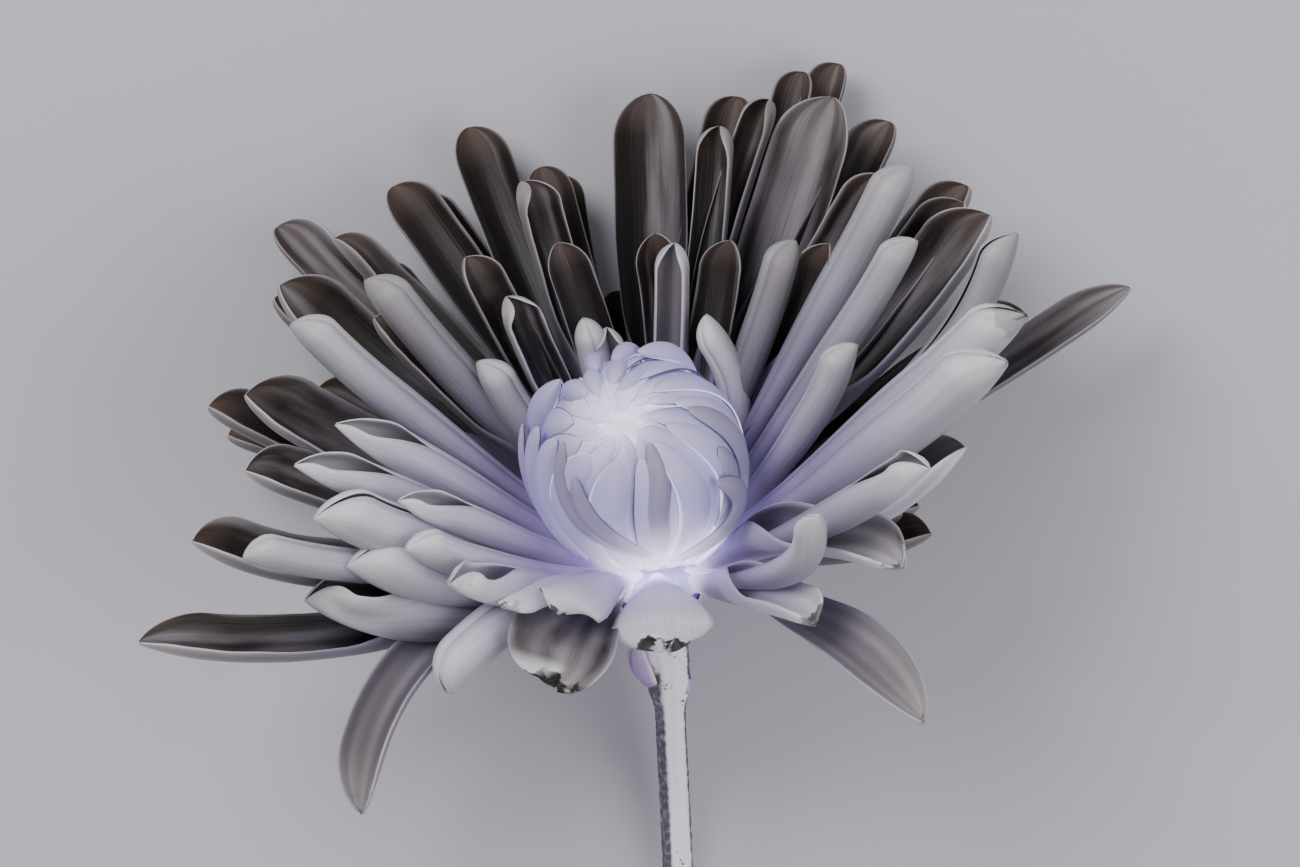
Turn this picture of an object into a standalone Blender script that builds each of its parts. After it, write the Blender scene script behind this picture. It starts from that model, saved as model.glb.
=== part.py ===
# Spider chrysanthemum: one cut stem lying on a table, its bloom propped on its own back florets.
# Lengths are millimetres until a mesh is made. The table is z = 0, and the bloom faces +Y and up.

import math
from collections import namedtuple
from random import Random

import bmesh
import bpy
from mathutils import Quaternion, Vector

MM = 0.001

# The bloom as a whole
CROWN_PLACE = (2.6, 43.6)  # from the part's origin to the point on the table under the crown
CROWN_HEIGHT = 33.0      # the middle of the ring that the florets grow from, above the table
FACE_UP = 40.0           # degrees from the table up to the bloom's axis
AXIS_LEAN = 7.0          # degrees that the axis leans to the left, seen from above

# Receptacle: the button that every floret is rooted in
BUTTON_RADIUS = 10.8
BUTTON_BOTTOM = -3.0     # along the axis, from the crown
BUTTON_TOP = 1.0
ROOT_RADIUS = 7.2
HANGING_ROOT = 4.6       # root radius of a floret whose margins bend back
ROOT_LOW = -1.5
ROOT_HIGH = -0.3

# One open floret: a rolled tube that opens into a spoon
WALL = 0.7               # thickness of a floret's wall
QUILL_RADIUS = 0.95      # the rolled base
QUILL_CURL = 177.0       # degrees from the keel to each margin where the floret is rolled shut
OPEN_QUILL_CURL = 150.0  # the same for a floret that opens wide
NEARLY_SHUT = 108.0      # a floret that never gapes below this is solid, without a hollow
TIP_SHARE = 0.25         # width left at the very tip
STATIONS = (0.0, 0.2, 0.42, 0.63, 0.81, 0.94, 1.0)
HIDDEN_STATIONS = (0.0, 0.25, 0.55, 0.82, 1.0)

# The ball of incurved florets in the middle
BALL_RADIUS = 15.9       # across the axis
BALL_LENGTH = 17.4       # half of its length along the axis
BALL_CENTRE = 19.2       # along the axis, from the crown
EYE_NOD = 24.0           # degrees that its eye is drawn to the front, and to the left
EYE_LEAN = 11.0
FOOT_NOD = -44.0         # degrees that its foot is drawn, the other way about
SUNK = 0.84              # size at which the foot of a lifted floret is sunk in the ball
LIFTED_STATIONS = (0.0, 0.25, 0.55, 0.82, 1.0)

GAP = 0.3                # between one piece and the next

# Involucre: the cup of small bracts below the florets
CUP_TOP = BUTTON_BOTTOM - GAP
CUP_BOTTOM = -13.0
CUP_RADIUS = 8.4
CUP_NECK = 3.3

# Stem
STEM_RADIUS = 2.3
STEM_SIDES = 12
STEM_RIB = 0.06          # ridges, as a share of the radius
STEM_FLAT = 0.35         # how far the stem's underside is pressed flat on the table

SEED = 7


def turned(angle):
    """Sine and cosine of an angle in degrees."""
    return math.sin(math.radians(angle)), math.cos(math.radians(angle))


UP_SIN, UP_COS = turned(FACE_UP)
LEAN_SIN, LEAN_COS = turned(AXIS_LEAN)
UNDER_CROWN = Vector((*CROWN_PLACE, 0.0))
CROWN = UNDER_CROWN + Vector((0.0, 0.0, CROWN_HEIGHT))
AXIS = Vector((-LEAN_SIN * UP_COS, LEAN_COS * UP_COS, UP_SIN))
RIGHT = Vector((LEAN_COS, LEAN_SIN, 0.0))
FRONT = RIGHT.cross(AXIS)
BALL = CROWN + AXIS * BALL_CENTRE


def outward(azimuth):
    """Direction away from the axis: 0 is the front, 90 the right, 180 the back."""
    sine, cosine = turned(azimuth)
    return FRONT * cosine + RIGHT * sine


def smooth(value, low, high):
    """Ease from 0 at low to 1 at high."""
    share = min(1.0, max(0.0, (value - low) / (high - low)))
    return share * share * (3.0 - 2.0 * share)


def blend(first, second, share):
    return first + (second - first) * share


# Open florets that can be seen from above. x and y are the tip's place, in mm from the crown.
# rise is the tip's angle above the bloom's plane, or z its height above the crown. across is the
# greatest width, gape the degrees from keel to margin there, mouth where along it the tube opens.
# near and far bow the floret towards the axis, sway bows it to its left, roll twists it.
# arc above 0.7 sends it past its tip, so that it curls over and hangs. point sharpens its tip, and
# widest is where along its length it is broadest.
# A gape below 0 is a floret whose margins bend back, like the two sides of a roof.
FIELDS = "x y rise z across gape mouth near far sway roll arc point widest"
DEFAULTS = (None, None, 7.0, 120, 0.6, -1.5, -4.0, 0.0, 0.0, 0.7, 0.05, 0.68)
Floret = namedtuple("Floret", FIELDS, defaults=DEFAULTS)

LEFT_FLORETS = (
    Floret(-79.0, -12.5, 4, across=9.0, gape=85, mouth=0.45, sway=5.0, point=0.4),
    Floret(-53.5, -6.0, 10, across=9.5, gape=120, mouth=0.8, sway=7.0),
    Floret(-70.8, 3.0, 14, across=10.0, gape=80, mouth=0.4, far=-9.0, sway=1.5),
    Floret(-62.8, 0.5, 18, across=5.0, gape=177, mouth=0.8, sway=1.0),
    Floret(-46.9, -0.8, 19, across=7.8, gape=174, mouth=0.7, sway=4.0),
    Floret(-52.0, 6.5, 25, across=8.2, gape=172, mouth=0.7, sway=2.5),
    Floret(-38.0, 1.8, 27, across=5.3, gape=177, mouth=0.75, sway=1.5),
    Floret(-31.2, -3.5, 25, across=6.0, gape=110, mouth=0.8, sway=1.5),
    Floret(-23.0, -6.5, 22, across=6.0, gape=-60, near=2.0, far=3.0),
    Floret(-62.8, 13.8, 19, across=9.5, gape=85, mouth=0.45),
    Floret(-55.0, 14.6, 27, across=6.0, gape=118, mouth=0.86, point=0.5),
    Floret(-39.0, 9.2, 33, across=5.2, gape=115, mouth=0.84, point=0.5),
    Floret(-48.8, 20.8, 33, across=6.2, gape=118, mouth=0.86, point=0.6),
    Floret(-63.0, 25.4, 22, across=12.0, gape=78, mouth=0.42, far=-7.0),
    Floret(-55.8, 36.2, 36, across=6.0, gape=177, mouth=0.8, sway=1.0),
    Floret(-58.0, 42.3, 25, across=11.0, gape=82, mouth=0.45, far=-7.0),
    Floret(-58.8, 51.5, 19, across=8.0, gape=85, mouth=0.45),
    Floret(-49.7, 49.5, 29, across=8.0, gape=80, mouth=0.45, sway=-2.0, roll=35),
    Floret(-44.5, 43.0, 39, across=6.2, gape=177, mouth=0.8),
    Floret(-40.8, 57.7, 27, across=8.5, gape=80, mouth=0.4, sway=-2.0),
    Floret(-29.2, 67.0, 27, across=8.5, gape=85, mouth=0.45, far=-7.0),
    Floret(-20.5, 58.5, 37, across=6.4, gape=105, mouth=0.5, roll=20),
    Floret(-17.7, 60.8, 31, across=7.0, gape=90, mouth=0.5),
    Floret(-27.2, 30.5, 44, across=5.2, gape=177, mouth=0.8),
    Floret(-22.8, 40.5, 45, across=5.8, gape=105, mouth=0.55),
    Floret(-11.0, 37.2, 48, across=4.4, gape=177, mouth=0.8),
    Floret(-7.4, 35.7, 49, across=5.0, gape=100, mouth=0.5, sway=1.5),
)
FRONT_FLORETS = (
    Floret(-15.2, -7.6, z=25.0, across=12.5, gape=-60, near=6.0, far=8.5, sway=2.5, arc=1.1, point=0.0),
    Floret(
        1.5, -13.0, z=23.0, across=15.5, gape=-34, near=6.0, far=9.0, arc=1.1, point=-0.4, widest=0.74,
    ),
    Floret(24.0, -9.5, z=29.0, across=9.0, gape=75, mouth=0.5, near=3.0, far=4.5, sway=-2.5, arc=0.9, roll=-20),
    Floret(-31.5, -20.0, -4, across=7.4, gape=177, mouth=0.7, near=5.0, far=5.0),
    Floret(
        -15.0, -18.5, z=21.0, across=18.0, gape=40, mouth=0.2, near=7.0, far=8.0, arc=0.9, roll=-10,
        point=-0.1, widest=0.84,
    ),
    Floret(-45.0, -38.8, -20, across=7.4, gape=95, mouth=0.4, near=7.0, far=11.0, sway=-9.0, roll=-25, point=0.4),
    Floret(40.8, -24.2, -5, across=10.5, gape=50, mouth=0.3, near=5.0, far=7.0, sway=2.0, point=0.45),
)
BACK_FLORETS = (
    Floret(-0.8, 72.3, 31, across=11.0, gape=85, mouth=0.42, far=-7.0),
    Floret(10.0, 67.0, 36, across=5.4, gape=115, mouth=0.5, sway=-1.0),
    Floret(17.7, 71.2, 33, across=5.0, gape=120, mouth=0.5, sway=4.0),
    Floret(13.0, 71.8, 28, across=7.5, gape=90, mouth=0.5, sway=2.0),
    Floret(27.7, 71.5, 31, across=12.5, gape=80, mouth=0.42, far=-7.0),
    Floret(23.0, 75.7, 27, across=6.0, gape=95, mouth=0.5),
    Floret(28.5, 77.0, 25, across=6.0, gape=95, mouth=0.5),
    Floret(36.6, 67.7, 27, across=7.5, gape=90, mouth=0.45, sway=1.5),
    Floret(3.0, 48.8, 44, across=5.0, gape=130, mouth=0.5),
    Floret(21.5, 49.2, 41, across=5.2, gape=177, mouth=0.7),
    Floret(7.8, 37.7, 46, across=4.6, gape=177, mouth=0.85, sway=-9.0),
)
RIGHT_FLORETS = (
    Floret(39.5, 60.3, 38, across=6.2, gape=177, mouth=0.85),
    Floret(36.0, 59.0, 31, across=7.5, gape=95, mouth=0.5, sway=2.0),
    Floret(40.0, 49.0, 41, across=5.2, gape=177, mouth=0.85),
    Floret(30.8, 33.0, 43, across=5.0, gape=177, mouth=0.8, sway=-2.0),
    Floret(48.5, 57.7, 23, across=8.0, gape=90, mouth=0.45),
    Floret(47.7, 55.0, 27, across=8.0, gape=90, mouth=0.45),
    Floret(51.5, 53.0, 30, across=11.5, gape=85, mouth=0.45, far=-6.0),
    Floret(55.4, 50.0, 33, across=5.4, gape=172, mouth=0.7, far=-10.0, sway=-5.0),
    Floret(56.5, 37.2, 34, across=7.6, gape=177, mouth=0.8, sway=-1.0),
    Floret(53.5, 30.0, 33, across=8.6, gape=177, mouth=0.8, sway=-2.0),
    Floret(73.5, 42.0, 11, across=8.0, gape=70, mouth=0.4, point=0.45),
    Floret(47.4, 17.4, 23, across=9.5, gape=85, mouth=0.45, sway=-4.0),
    Floret(41.5, 14.2, 33, across=5.6, gape=130, mouth=0.85, sway=-1.5),
    Floret(37.4, -0.8, 16, across=9.5, gape=85, mouth=0.5, near=3.0, far=4.0, sway=2.0),
    Floret(25.0, 6.8, 36, across=4.8, gape=175, mouth=0.75, near=1.0, far=-6.0, sway=-7.0, arc=0.8),
)

# Whorls that the bloom hides: count, first and last azimuth, rise, length, width, height kept over
# the table at the broad part.
Whorl = namedtuple("Whorl", "count first last rise length across clear")
HIDDEN_WHORLS = (
    Whorl(6, 122, 246, 41, 56, 6.5, 6.0),
    Whorl(10, 106, 256, 19, 73, 7.6, 6.0),
    Whorl(9, 112, 250, 3, 70, 7.4, 0.2),
    Whorl(2, 82, 96, 5, 46, 7.0, 6.0),
    Whorl(2, 262, 278, -3, 44, 7.0, 6.0),
)


def tip_height(x, y, rise):
    """Height at which a tip over (x, y) stands at this angle above the bloom's plane."""
    sine, _ = turned(rise)

    def excess(z):
        return x * AXIS.x + y * AXIS.y + z * AXIS.z - sine * math.sqrt(x * x + y * y + z * z)

    low = -60.0
    while excess(low + 1.0) < 0.0:
        low += 1.0
    high = low + 1.0
    for _ in range(20):
        middle = (low + high) / 2.0
        if excess(middle) < 0.0:
            low = middle
        else:
            high = middle
    return low


def hidden_florets():
    """Florets of the hidden whorls, each a little off its even place."""
    draw = Random(SEED)
    made = []
    for whorl in HIDDEN_WHORLS:
        for index in range(whorl.count):
            share = (index + 0.5) / whorl.count
            azimuth = blend(whorl.first, whorl.last, share) + draw.uniform(-3.0, 3.0)
            sine, cosine = turned(whorl.rise + draw.uniform(-3.0, 3.0))
            length = whorl.length * draw.uniform(0.9, 1.04)
            tip = (outward(azimuth) * cosine + AXIS * sine) * length
            made.append((tip, whorl, draw.uniform(-3.0, 3.0)))
    return made


def push_out_of_ball(point, margin):
    """Move a point off the central ball, if it lies within the margin of it."""
    offset = point - BALL
    along = offset.dot(AXIS)
    across = (offset - AXIS * along).length
    size = math.hypot(along / (BALL_LENGTH + margin), across / (BALL_RADIUS + margin))
    if size >= 1.0 or size < 0.001:
        return point
    return BALL + offset / size


def keep_off_cup(point):
    """Lift a point that would lie in the involucre below the florets."""
    offset = point - CROWN
    along = offset.dot(AXIS)
    radius = (offset - AXIS * along).length
    lowest = BUTTON_BOTTOM + GAP - 2.0 * max(0.0, radius - CUP_RADIUS - 1.2)
    if along >= lowest or radius > 2.0 * CUP_RADIUS:
        return point
    return point + AXIS * (lowest - along)


def rest_on_table(height, floor):
    """Ease a height down to the floor instead of through it."""
    softness = 3.0
    return floor + softness * math.log1p(math.exp((height - floor) / softness))


def bezier(points, share):
    """Point and direction at a share of the way along four control points."""
    a, b, c, d = points
    rest = 1.0 - share
    place = a * rest**3 + b * (3.0 * rest**2 * share) + c * (3.0 * rest * share**2) + d * share**3
    slope = (b - a) * rest**2 + (c - b) * (2.0 * rest * share) + (d - c) * share**2
    return place, slope.normalized()


def spine_controls(tip, spec):
    """Control points of a floret's keel and its sideways direction."""
    flat = tip - AXIS * tip.dot(AXIS)
    out = flat.normalized()
    side = AXIS.cross(out)
    rise = math.degrees(math.asin(tip.normalized().dot(AXIS)))
    root_level = blend(ROOT_LOW, ROOT_HIGH, smooth(rise, -10.0, 45.0))
    root = CROWN + out * ROOT_RADIUS + AXIS * root_level
    if spec.gape < 0.0:
        root = CROWN + out * HANGING_ROOT + AXIS * BUTTON_TOP
    end = CROWN + tip
    chord = end - root
    length = chord.length
    ahead = chord / length
    inner = ahead.cross(side).normalized()
    left = Vector((-ahead.y, ahead.x, 0.0)).normalized()
    first = root + ahead * (length * spec.arc * 0.5) + inner * spec.near + left * spec.sway
    second = root + ahead * (length * spec.arc) + inner * spec.far + left * spec.sway
    return (root, first, second, end), side


def half_width(share, spec, shoulder):
    """Half of a floret's width at a share of its length, with a round or a pointed tip."""
    half = blend(QUILL_RADIUS, spec.across / 2.0, smooth(share, 0.0, spec.widest))
    if share > shoulder:
        round_off = (share - shoulder) / (1.0 - shoulder)
        taper = (1.0 - round_off ** blend(2.2, 1.2, spec.point)) ** blend(0.5, 0.9, spec.point)
        half *= max(TIP_SHARE, taper)
    return half


def tube_section(radius, curl):
    """A floret that stays nearly shut, as a solid of six corners."""
    outer = radius + WALL / 2.0
    section = [(0.0, -WALL / 2.0)]
    for part in (0.34, 0.68):
        section.append((outer * math.sin(curl * part), radius - outer * math.cos(curl * part)))
    section.append((0.0, radius * (1.0 - math.cos(curl)) + WALL / 2.0))
    section += [(-sideways, inward) for sideways, inward in reversed(section[1:3])]
    return section


def roof_section(radius, curl):
    """A floret whose margins bend back, away from the axis."""
    upper = radius - WALL / 2.0
    flank = curl * 0.55
    rim = (radius * math.sin(curl), radius * (1.0 - math.cos(curl)))
    over = (upper * math.sin(flank), radius - upper * math.cos(flank))
    section = [(0.0, -WALL / 2.0), rim, over, (0.0, WALL / 2.0)]
    section += [(-over[0], over[1]), (-rim[0], rim[1])]
    return section


def floret_section(share, spec, shoulder):
    """Corners of a floret's cross-section, as (sideways, inward) from its keel."""
    half = half_width(share, spec, shoulder)
    if spec.gape < 0.0:
        curl = math.radians(spec.gape)
        return roof_section(half / math.sin(curl), curl)
    opened = smooth(share, spec.mouth - 0.2, spec.mouth + 0.12)
    shut = QUILL_CURL if spec.gape >= NEARLY_SHUT else OPEN_QUILL_CURL
    curl = math.radians(blend(shut, spec.gape, opened))
    radius = half / math.sin(min(curl, math.pi / 2.0))
    if spec.gape >= NEARLY_SHUT:
        return tube_section(radius, curl)
    outer = radius + WALL / 2.0
    flank = curl * 0.62
    flank_side = outer * math.sin(flank)
    flank_depth = radius - outer * math.cos(flank)
    rim_side = max(radius * math.sin(curl), 0.3)
    rim_depth = max(radius * (1.0 - math.cos(curl)), WALL)
    openness = 1.0 - smooth(math.degrees(curl), 95.0, 150.0)
    hollow = blend(rim_depth - WALL / 2.0, WALL / 2.0, openness)
    section = [(0.0, -WALL / 2.0), (flank_side, flank_depth), (rim_side, rim_depth)]
    section.append((0.0, hollow))
    section += [(-rim_side, rim_depth), (-flank_side, flank_depth)]
    return section


def floret_rings(tip, spec, stations, floor):
    """Rings of points along one floret, clear of the ball, the cup and the table."""
    controls, side = spine_controls(tip, spec)
    shoulder = 1.0 - min(0.45, blend(0.75, 2.2, spec.point) * spec.across / tip.length)
    rings = []
    for share in stations:
        place, ahead = bezier(controls, share)
        inner = ahead.cross(side).normalized()
        across = inner.cross(ahead)
        twist = Quaternion(ahead, math.radians(spec.roll * share))
        inner.rotate(twist)
        across.rotate(twist)
        section = floret_section(share, spec, shoulder)
        depth = max(point[1] for point in section)
        place = push_out_of_ball(place, depth + GAP)
        place.z = rest_on_table(place.z, floor)
        ring = []
        for sideways, inward in section:
            point = place + across * sideways + inner * inward
            point = keep_off_cup(push_out_of_ball(point, GAP * 2.0))
            lowest = WALL if inward > 0.0 and sideways == 0.0 else 0.0
            point.z = max(point.z, lowest)
            ring.append(point)
        rings.append(ring)
    return rings


def mesh_from_rings(name, rings):
    """A closed mesh over rings of points, which are in mm."""
    mesh = bmesh.new()
    grid = [[mesh.verts.new(point * MM) for point in ring] for ring in rings]
    count = len(rings[0])
    for lower, upper in zip(grid, grid[1:]):
        for index in range(count):
            after = (index + 1) % count
            mesh.faces.new((lower[index], lower[after], upper[after], upper[index]))
    mesh.faces.new(list(reversed(grid[0])))
    mesh.faces.new(grid[-1])
    bmesh.ops.triangulate(mesh, faces=mesh.faces[:])
    if mesh.calc_volume(signed=True) < 0.0:
        bmesh.ops.reverse_faces(mesh, faces=mesh.faces[:])
    data = bpy.data.meshes.new(name)
    mesh.to_mesh(data)
    mesh.free()
    return data


def keep_largest_body(data):
    """Drop loose scraps, and fill hollows that are sealed in."""
    mesh = bmesh.new()
    mesh.from_mesh(data)
    unseen = set(mesh.verts)
    bodies = []
    while unseen:
        body = {unseen.pop()}
        edge = list(body)
        while edge:
            for link in edge.pop().link_edges:
                for vert in link.verts:
                    if vert in unseen:
                        unseen.remove(vert)
                        body.add(vert)
                        edge.append(vert)
        bodies.append(body)
    largest = max(bodies, key=len)
    spare = [vert for vert in mesh.verts if vert not in largest]
    bmesh.ops.delete(mesh, geom=spare, context="VERTS")
    bmesh.ops.triangulate(mesh, faces=mesh.faces[:])
    mesh.to_mesh(data)
    mesh.free()


def fuse(name, core, repeats, material):
    """Join a core mesh and its repeats into one named body."""
    collection = bpy.data.collections.new(name + "_repeats")
    bpy.context.scene.collection.children.link(collection)
    for index, data in enumerate(repeats):
        collection.objects.link(bpy.data.objects.new(f"{name}_{index}", data))
    body = bpy.data.objects.new(name, core)
    bpy.context.scene.collection.objects.link(body)
    union = body.modifiers.new("union", "BOOLEAN")
    union.operation = "UNION"
    union.operand_type = "COLLECTION"
    union.collection = collection
    union.solver = "MANIFOLD"
    evaluated = body.evaluated_get(bpy.context.evaluated_depsgraph_get())
    joined = bpy.data.meshes.new_from_object(evaluated)
    body.modifiers.clear()
    body.data = joined
    for repeat in list(collection.objects):
        bpy.data.objects.remove(repeat)
    bpy.data.collections.remove(collection)
    keep_largest_body(joined)
    joined.name = name
    joined.materials.clear()
    joined.materials.append(material)
    joined.shade_smooth()
    joined.set_sharp_from_angle(angle=math.radians(40.0))
    return body


def plain_material(name, colour, roughness):
    material = bpy.data.materials.new(name)
    material.use_nodes = True
    shader = material.node_tree.nodes["Principled BSDF"]
    shader.inputs["Base Color"].default_value = (*colour, 1.0)
    shader.inputs["Roughness"].default_value = roughness
    shader.inputs["Metallic"].default_value = 0.0
    return material


def axis_ring(level, radius, sides, turn=0.0):
    """Points round the bloom's axis at one level."""
    step = 360.0 / sides
    return [CROWN + AXIS * level + outward(turn + step * index) * radius for index in range(sides)]


def build_ray_florets(material):
    """Every open floret, fused to the button that it grows from."""
    levels = (
        (BUTTON_BOTTOM, BUTTON_RADIUS - 4.2),
        (BUTTON_BOTTOM + 1.2, BUTTON_RADIUS - 2.0),
        (BUTTON_TOP - 0.8, BUTTON_RADIUS),
        (BUTTON_TOP + 1.2, BUTTON_RADIUS - 0.4),
        (BUTTON_TOP, BUTTON_RADIUS - 5.2),
    )
    button = mesh_from_rings("button", [axis_ring(level, radius, 16) for level, radius in levels])
    blades = []
    for spec in LEFT_FLORETS + FRONT_FLORETS + BACK_FLORETS + RIGHT_FLORETS:
        height = spec.z if spec.z is not None else tip_height(spec.x, spec.y, spec.rise)
        tip = Vector((spec.x, spec.y, height))
        blades.append(mesh_from_rings("floret", floret_rings(tip, spec, STATIONS, 2.0)))
    for tip, whorl, sway in hidden_florets():
        spec = Floret(0, 0, across=whorl.across, gape=90, mouth=0.45, sway=sway)
        rings = floret_rings(tip, spec, HIDDEN_STATIONS, whorl.clear)
        blades.append(mesh_from_rings("floret", rings))
    return fuse("ray_florets", button, blades, material)


def on_ball(azimuth, latitude, size):
    """Point over the central ball. Latitude 90 is the eye and -90 the foot, both drawn forward."""
    sine, cosine = turned(latitude)
    offset = outward(azimuth) * (BALL_RADIUS * size * cosine) + AXIS * (BALL_LENGTH * size * sine)
    upper = smooth(latitude, -90.0, 90.0)
    offset.rotate(Quaternion(RIGHT, math.radians(blend(FOOT_NOD, EYE_NOD, upper))))
    offset.rotate(Quaternion(FRONT, math.radians(EYE_LEAN * smooth(latitude, 0.0, 90.0))))
    return BALL + offset


def centre_blade(azimuth, low, high, width, size, twist, steps):
    """An incurved floret that lies on the ball like a shingle."""
    rings = []
    for step in range(steps):
        share = step / (steps - 1)
        latitude = blend(low, high, share)
        _, shrink = turned(latitude)
        reach = BALL_RADIUS * max(0.22, shrink)
        swell = math.sin(math.pi * blend(0.2, 0.95, share))
        half = math.degrees(width / 2.0 * swell / reach)
        turn = azimuth + twist * share
        rings.append([
            on_ball(turn - half, latitude, size * 0.95),
            on_ball(turn, latitude, size * 1.02),
            on_ball(turn + half, latitude, size * 0.98),
            on_ball(turn, latitude, size * 0.80),
        ])
    return mesh_from_rings("centre_floret", rings)


def on_sphere(azimuth, latitude):
    """The same place on a plain sphere, where the shortest way between two is easily found."""
    side, front = turned(azimuth)
    sine, cosine = turned(latitude)
    return Vector((side * cosine, front * cosine, sine))


def lifted_blade(foot, tip, width, size, lift, flare, bend):
    """A floret on the ball that has begun to lift, from one (azimuth, latitude) to another.

    lift raises its middle off the ball, flare its tip, and bend bows it sideways.
    """
    start = on_sphere(*foot)
    way = start.rotation_difference(on_sphere(*tip))
    points = []
    for share in LIFTED_STATIONS:
        spot = start.copy()
        spot.rotate(Quaternion().slerp(way, share))
        azimuth = math.degrees(math.atan2(spot.x, spot.y)) + bend * math.sin(math.pi * share)
        latitude = math.degrees(math.asin(max(-1.0, min(1.0, spot.z))))
        off = size + lift * math.sin(math.pi * min(1.0, share * 0.85)) + flare * share**2
        points.append(on_ball(azimuth, latitude, blend(SUNK, off, smooth(share, -0.1, 0.3))))
    last = len(points) - 1
    rings = []
    for index, point in enumerate(points):
        ahead = (points[min(last, index + 1)] - points[max(0, index - 1)]).normalized()
        inward = (BALL - point).normalized()
        inward = (inward - ahead * inward.dot(ahead)).normalized()
        across = inward.cross(ahead)
        half = width / 2.0 * math.sin(math.pi * blend(0.25, 0.9, LIFTED_STATIONS[index]))
        rings.append([
            point - across * half + inward * (half * 0.4),
            point - inward * 0.2,
            point + across * half + inward * (half * 0.4),
            point + inward * 1.2,
        ])
    return mesh_from_rings("lifted_floret", rings)


# Rows of centre florets: count, lowest and highest latitude, width, size, first azimuth, rings.
CENTRE_ROWS = (
    (13, -72, 62, 7.6, 0.99, 4.0, 5),
    (9, 42, 80, 6.0, 0.96, 20.0, 3),
)
# Florets that have begun to lift: foot and tip, width, size, lift, flare, bend.
LIFTED = (
    ((-6, -46), (-78, 50), 3.8, 1.02, 0.01, 0.0, -8.0),
    ((-2, -44), (-48, 36), 3.4, 1.045, 0.01, 0.0, -6.0),
    ((6, -40), (30, 66), 4.4, 1.02, 0.0, 0.0, -9.0),
    ((46, -30), (58, 30), 5.0, 1.02, 0.02, 0.0, 3.0),
    ((66, -26), (82, 54), 5.4, 1.015, 0.03, 0.0, 3.0),
    ((20, -50), (40, 16), 4.6, 1.07, 0.06, 0.0, 22.0),
    ((-98, -40), (-104, 22), 7.0, 1.03, 0.12, 0.12, 0.0),
    ((-78, -42), (-94, 36), 6.6, 1.02, 0.07, 0.06, 0.0),
    ((-62, -45), (-82, 46), 5.8, 1.015, 0.03, 0.01, 0.0),
    ((-102, 4), (-134, 38), 5.6, 0.99, 0.22, 0.02, 0.0),
    ((-160, 28), (-160, 56), 2.8, 0.96, 0.18, 0.02, 0.0),
    ((170, 28), (182, 54), 2.8, 0.96, 0.18, 0.02, 0.0),
    ((134, 24), (166, 46), 3.4, 0.97, 0.18, 0.02, 0.0),
)


def build_centre_florets(material):
    """The ball of young florets, overlapping round a small eye."""
    core_rings = [
        [on_ball(index * 36.0, latitude, 0.88) for index in range(10)]
        for latitude in (-82, -55, -25, 5, 35, 60, 80)
    ]
    core = mesh_from_rings("core", core_rings)
    draw = Random(SEED)
    blades = []
    for count, low, high, width, size, start, steps in CENTRE_ROWS:
        for index in range(count):
            azimuth = start + 360.0 * index / count + draw.uniform(-3.0, 3.0)
            top = high + draw.uniform(-6.0, 4.0)
            blades.append(centre_blade(azimuth, low, top, width, size, 10.0, steps))
    for values in LIFTED:
        blades.append(lifted_blade(*values))
    return fuse("centre_florets", core, blades, material)


def build_involucre(material):
    """The cup below the florets, shingled with three rows of bracts."""
    span = CUP_TOP - CUP_BOTTOM
    core_rings = []
    for share in (0.0, 0.15, 0.4, 0.7, 1.0):
        radius = blend(CUP_NECK, CUP_RADIUS - 0.9, smooth(share, -0.1, 0.8))
        core_rings.append(axis_ring(CUP_BOTTOM + span * share, radius, 16))
    core = mesh_from_rings("cup", core_rings)
    bracts = []
    for row, (count, low, high, lift) in enumerate((
        (7, 0.02, 0.55, 0.5),
        (8, 0.2, 0.8, 0.4),
        (9, 0.4, 0.99, 0.3),
    )):
        for index in range(count):
            azimuth = 360.0 * (index + 0.5 * (row % 2)) / count
            bracts.append(bract(azimuth, low, high, lift, span))
    return fuse("involucre", core, bracts, material)


def bract(azimuth, low, high, lift, span):
    """One pointed bract that lies against the cup."""
    rings = []
    for share in (0.0, 0.55, 1.0):
        along = blend(low, high, share)
        surface = blend(CUP_NECK, CUP_RADIUS - 0.9, smooth(along, -0.1, 0.8))
        half = 2.4 * math.sin(math.pi * blend(0.25, 0.96, share))
        spread = math.degrees(half / (surface + 0.5))
        level = CUP_BOTTOM + span * along
        middle = surface + 0.45 + lift * share
        edge = surface - 0.15 + lift * share
        rings.append([
            CROWN + AXIS * level + outward(azimuth - spread) * edge,
            CROWN + AXIS * level + outward(azimuth) * middle,
            CROWN + AXIS * level + outward(azimuth + spread) * edge,
            CROWN + AXIS * level + outward(azimuth) * (surface - 0.9),
        ])
    return mesh_from_rings("bract", rings)


STEM_LEVEL = STEM_RADIUS - STEM_FLAT
# The stem's middle line: straight out of the cup, down to the table and along it.
STEM_LINE = [CROWN + AXIS * (CUP_BOTTOM - distance) for distance in (GAP, 4.3, 9.5)] + [
    UNDER_CROWN + Vector(point) for point in (
        (2.5, -26.5, 11.6),
        (3.1, -38.0, 6.0),
        (3.9, -55.0, 3.0),
        (4.8, -76.0, STEM_LEVEL),
        (5.8, -96.0, STEM_LEVEL),
        (6.9, -118.0, STEM_LEVEL),
        (8.2, -142.0, STEM_LEVEL),
        (9.5, -163.0, STEM_LEVEL),
    )
]
STEM_STEPS = 3           # rings between one point of the line and the next
COLLAR_AT = -19.5        # y of the swelling where the neck meets the stem, from the crown
SCARS_AT = (-64.0, -108.0, -147.0)   # y of the leaf scars, from the crown
CUT_SLANT = 35.0         # degrees that the cut end is off square


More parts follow.
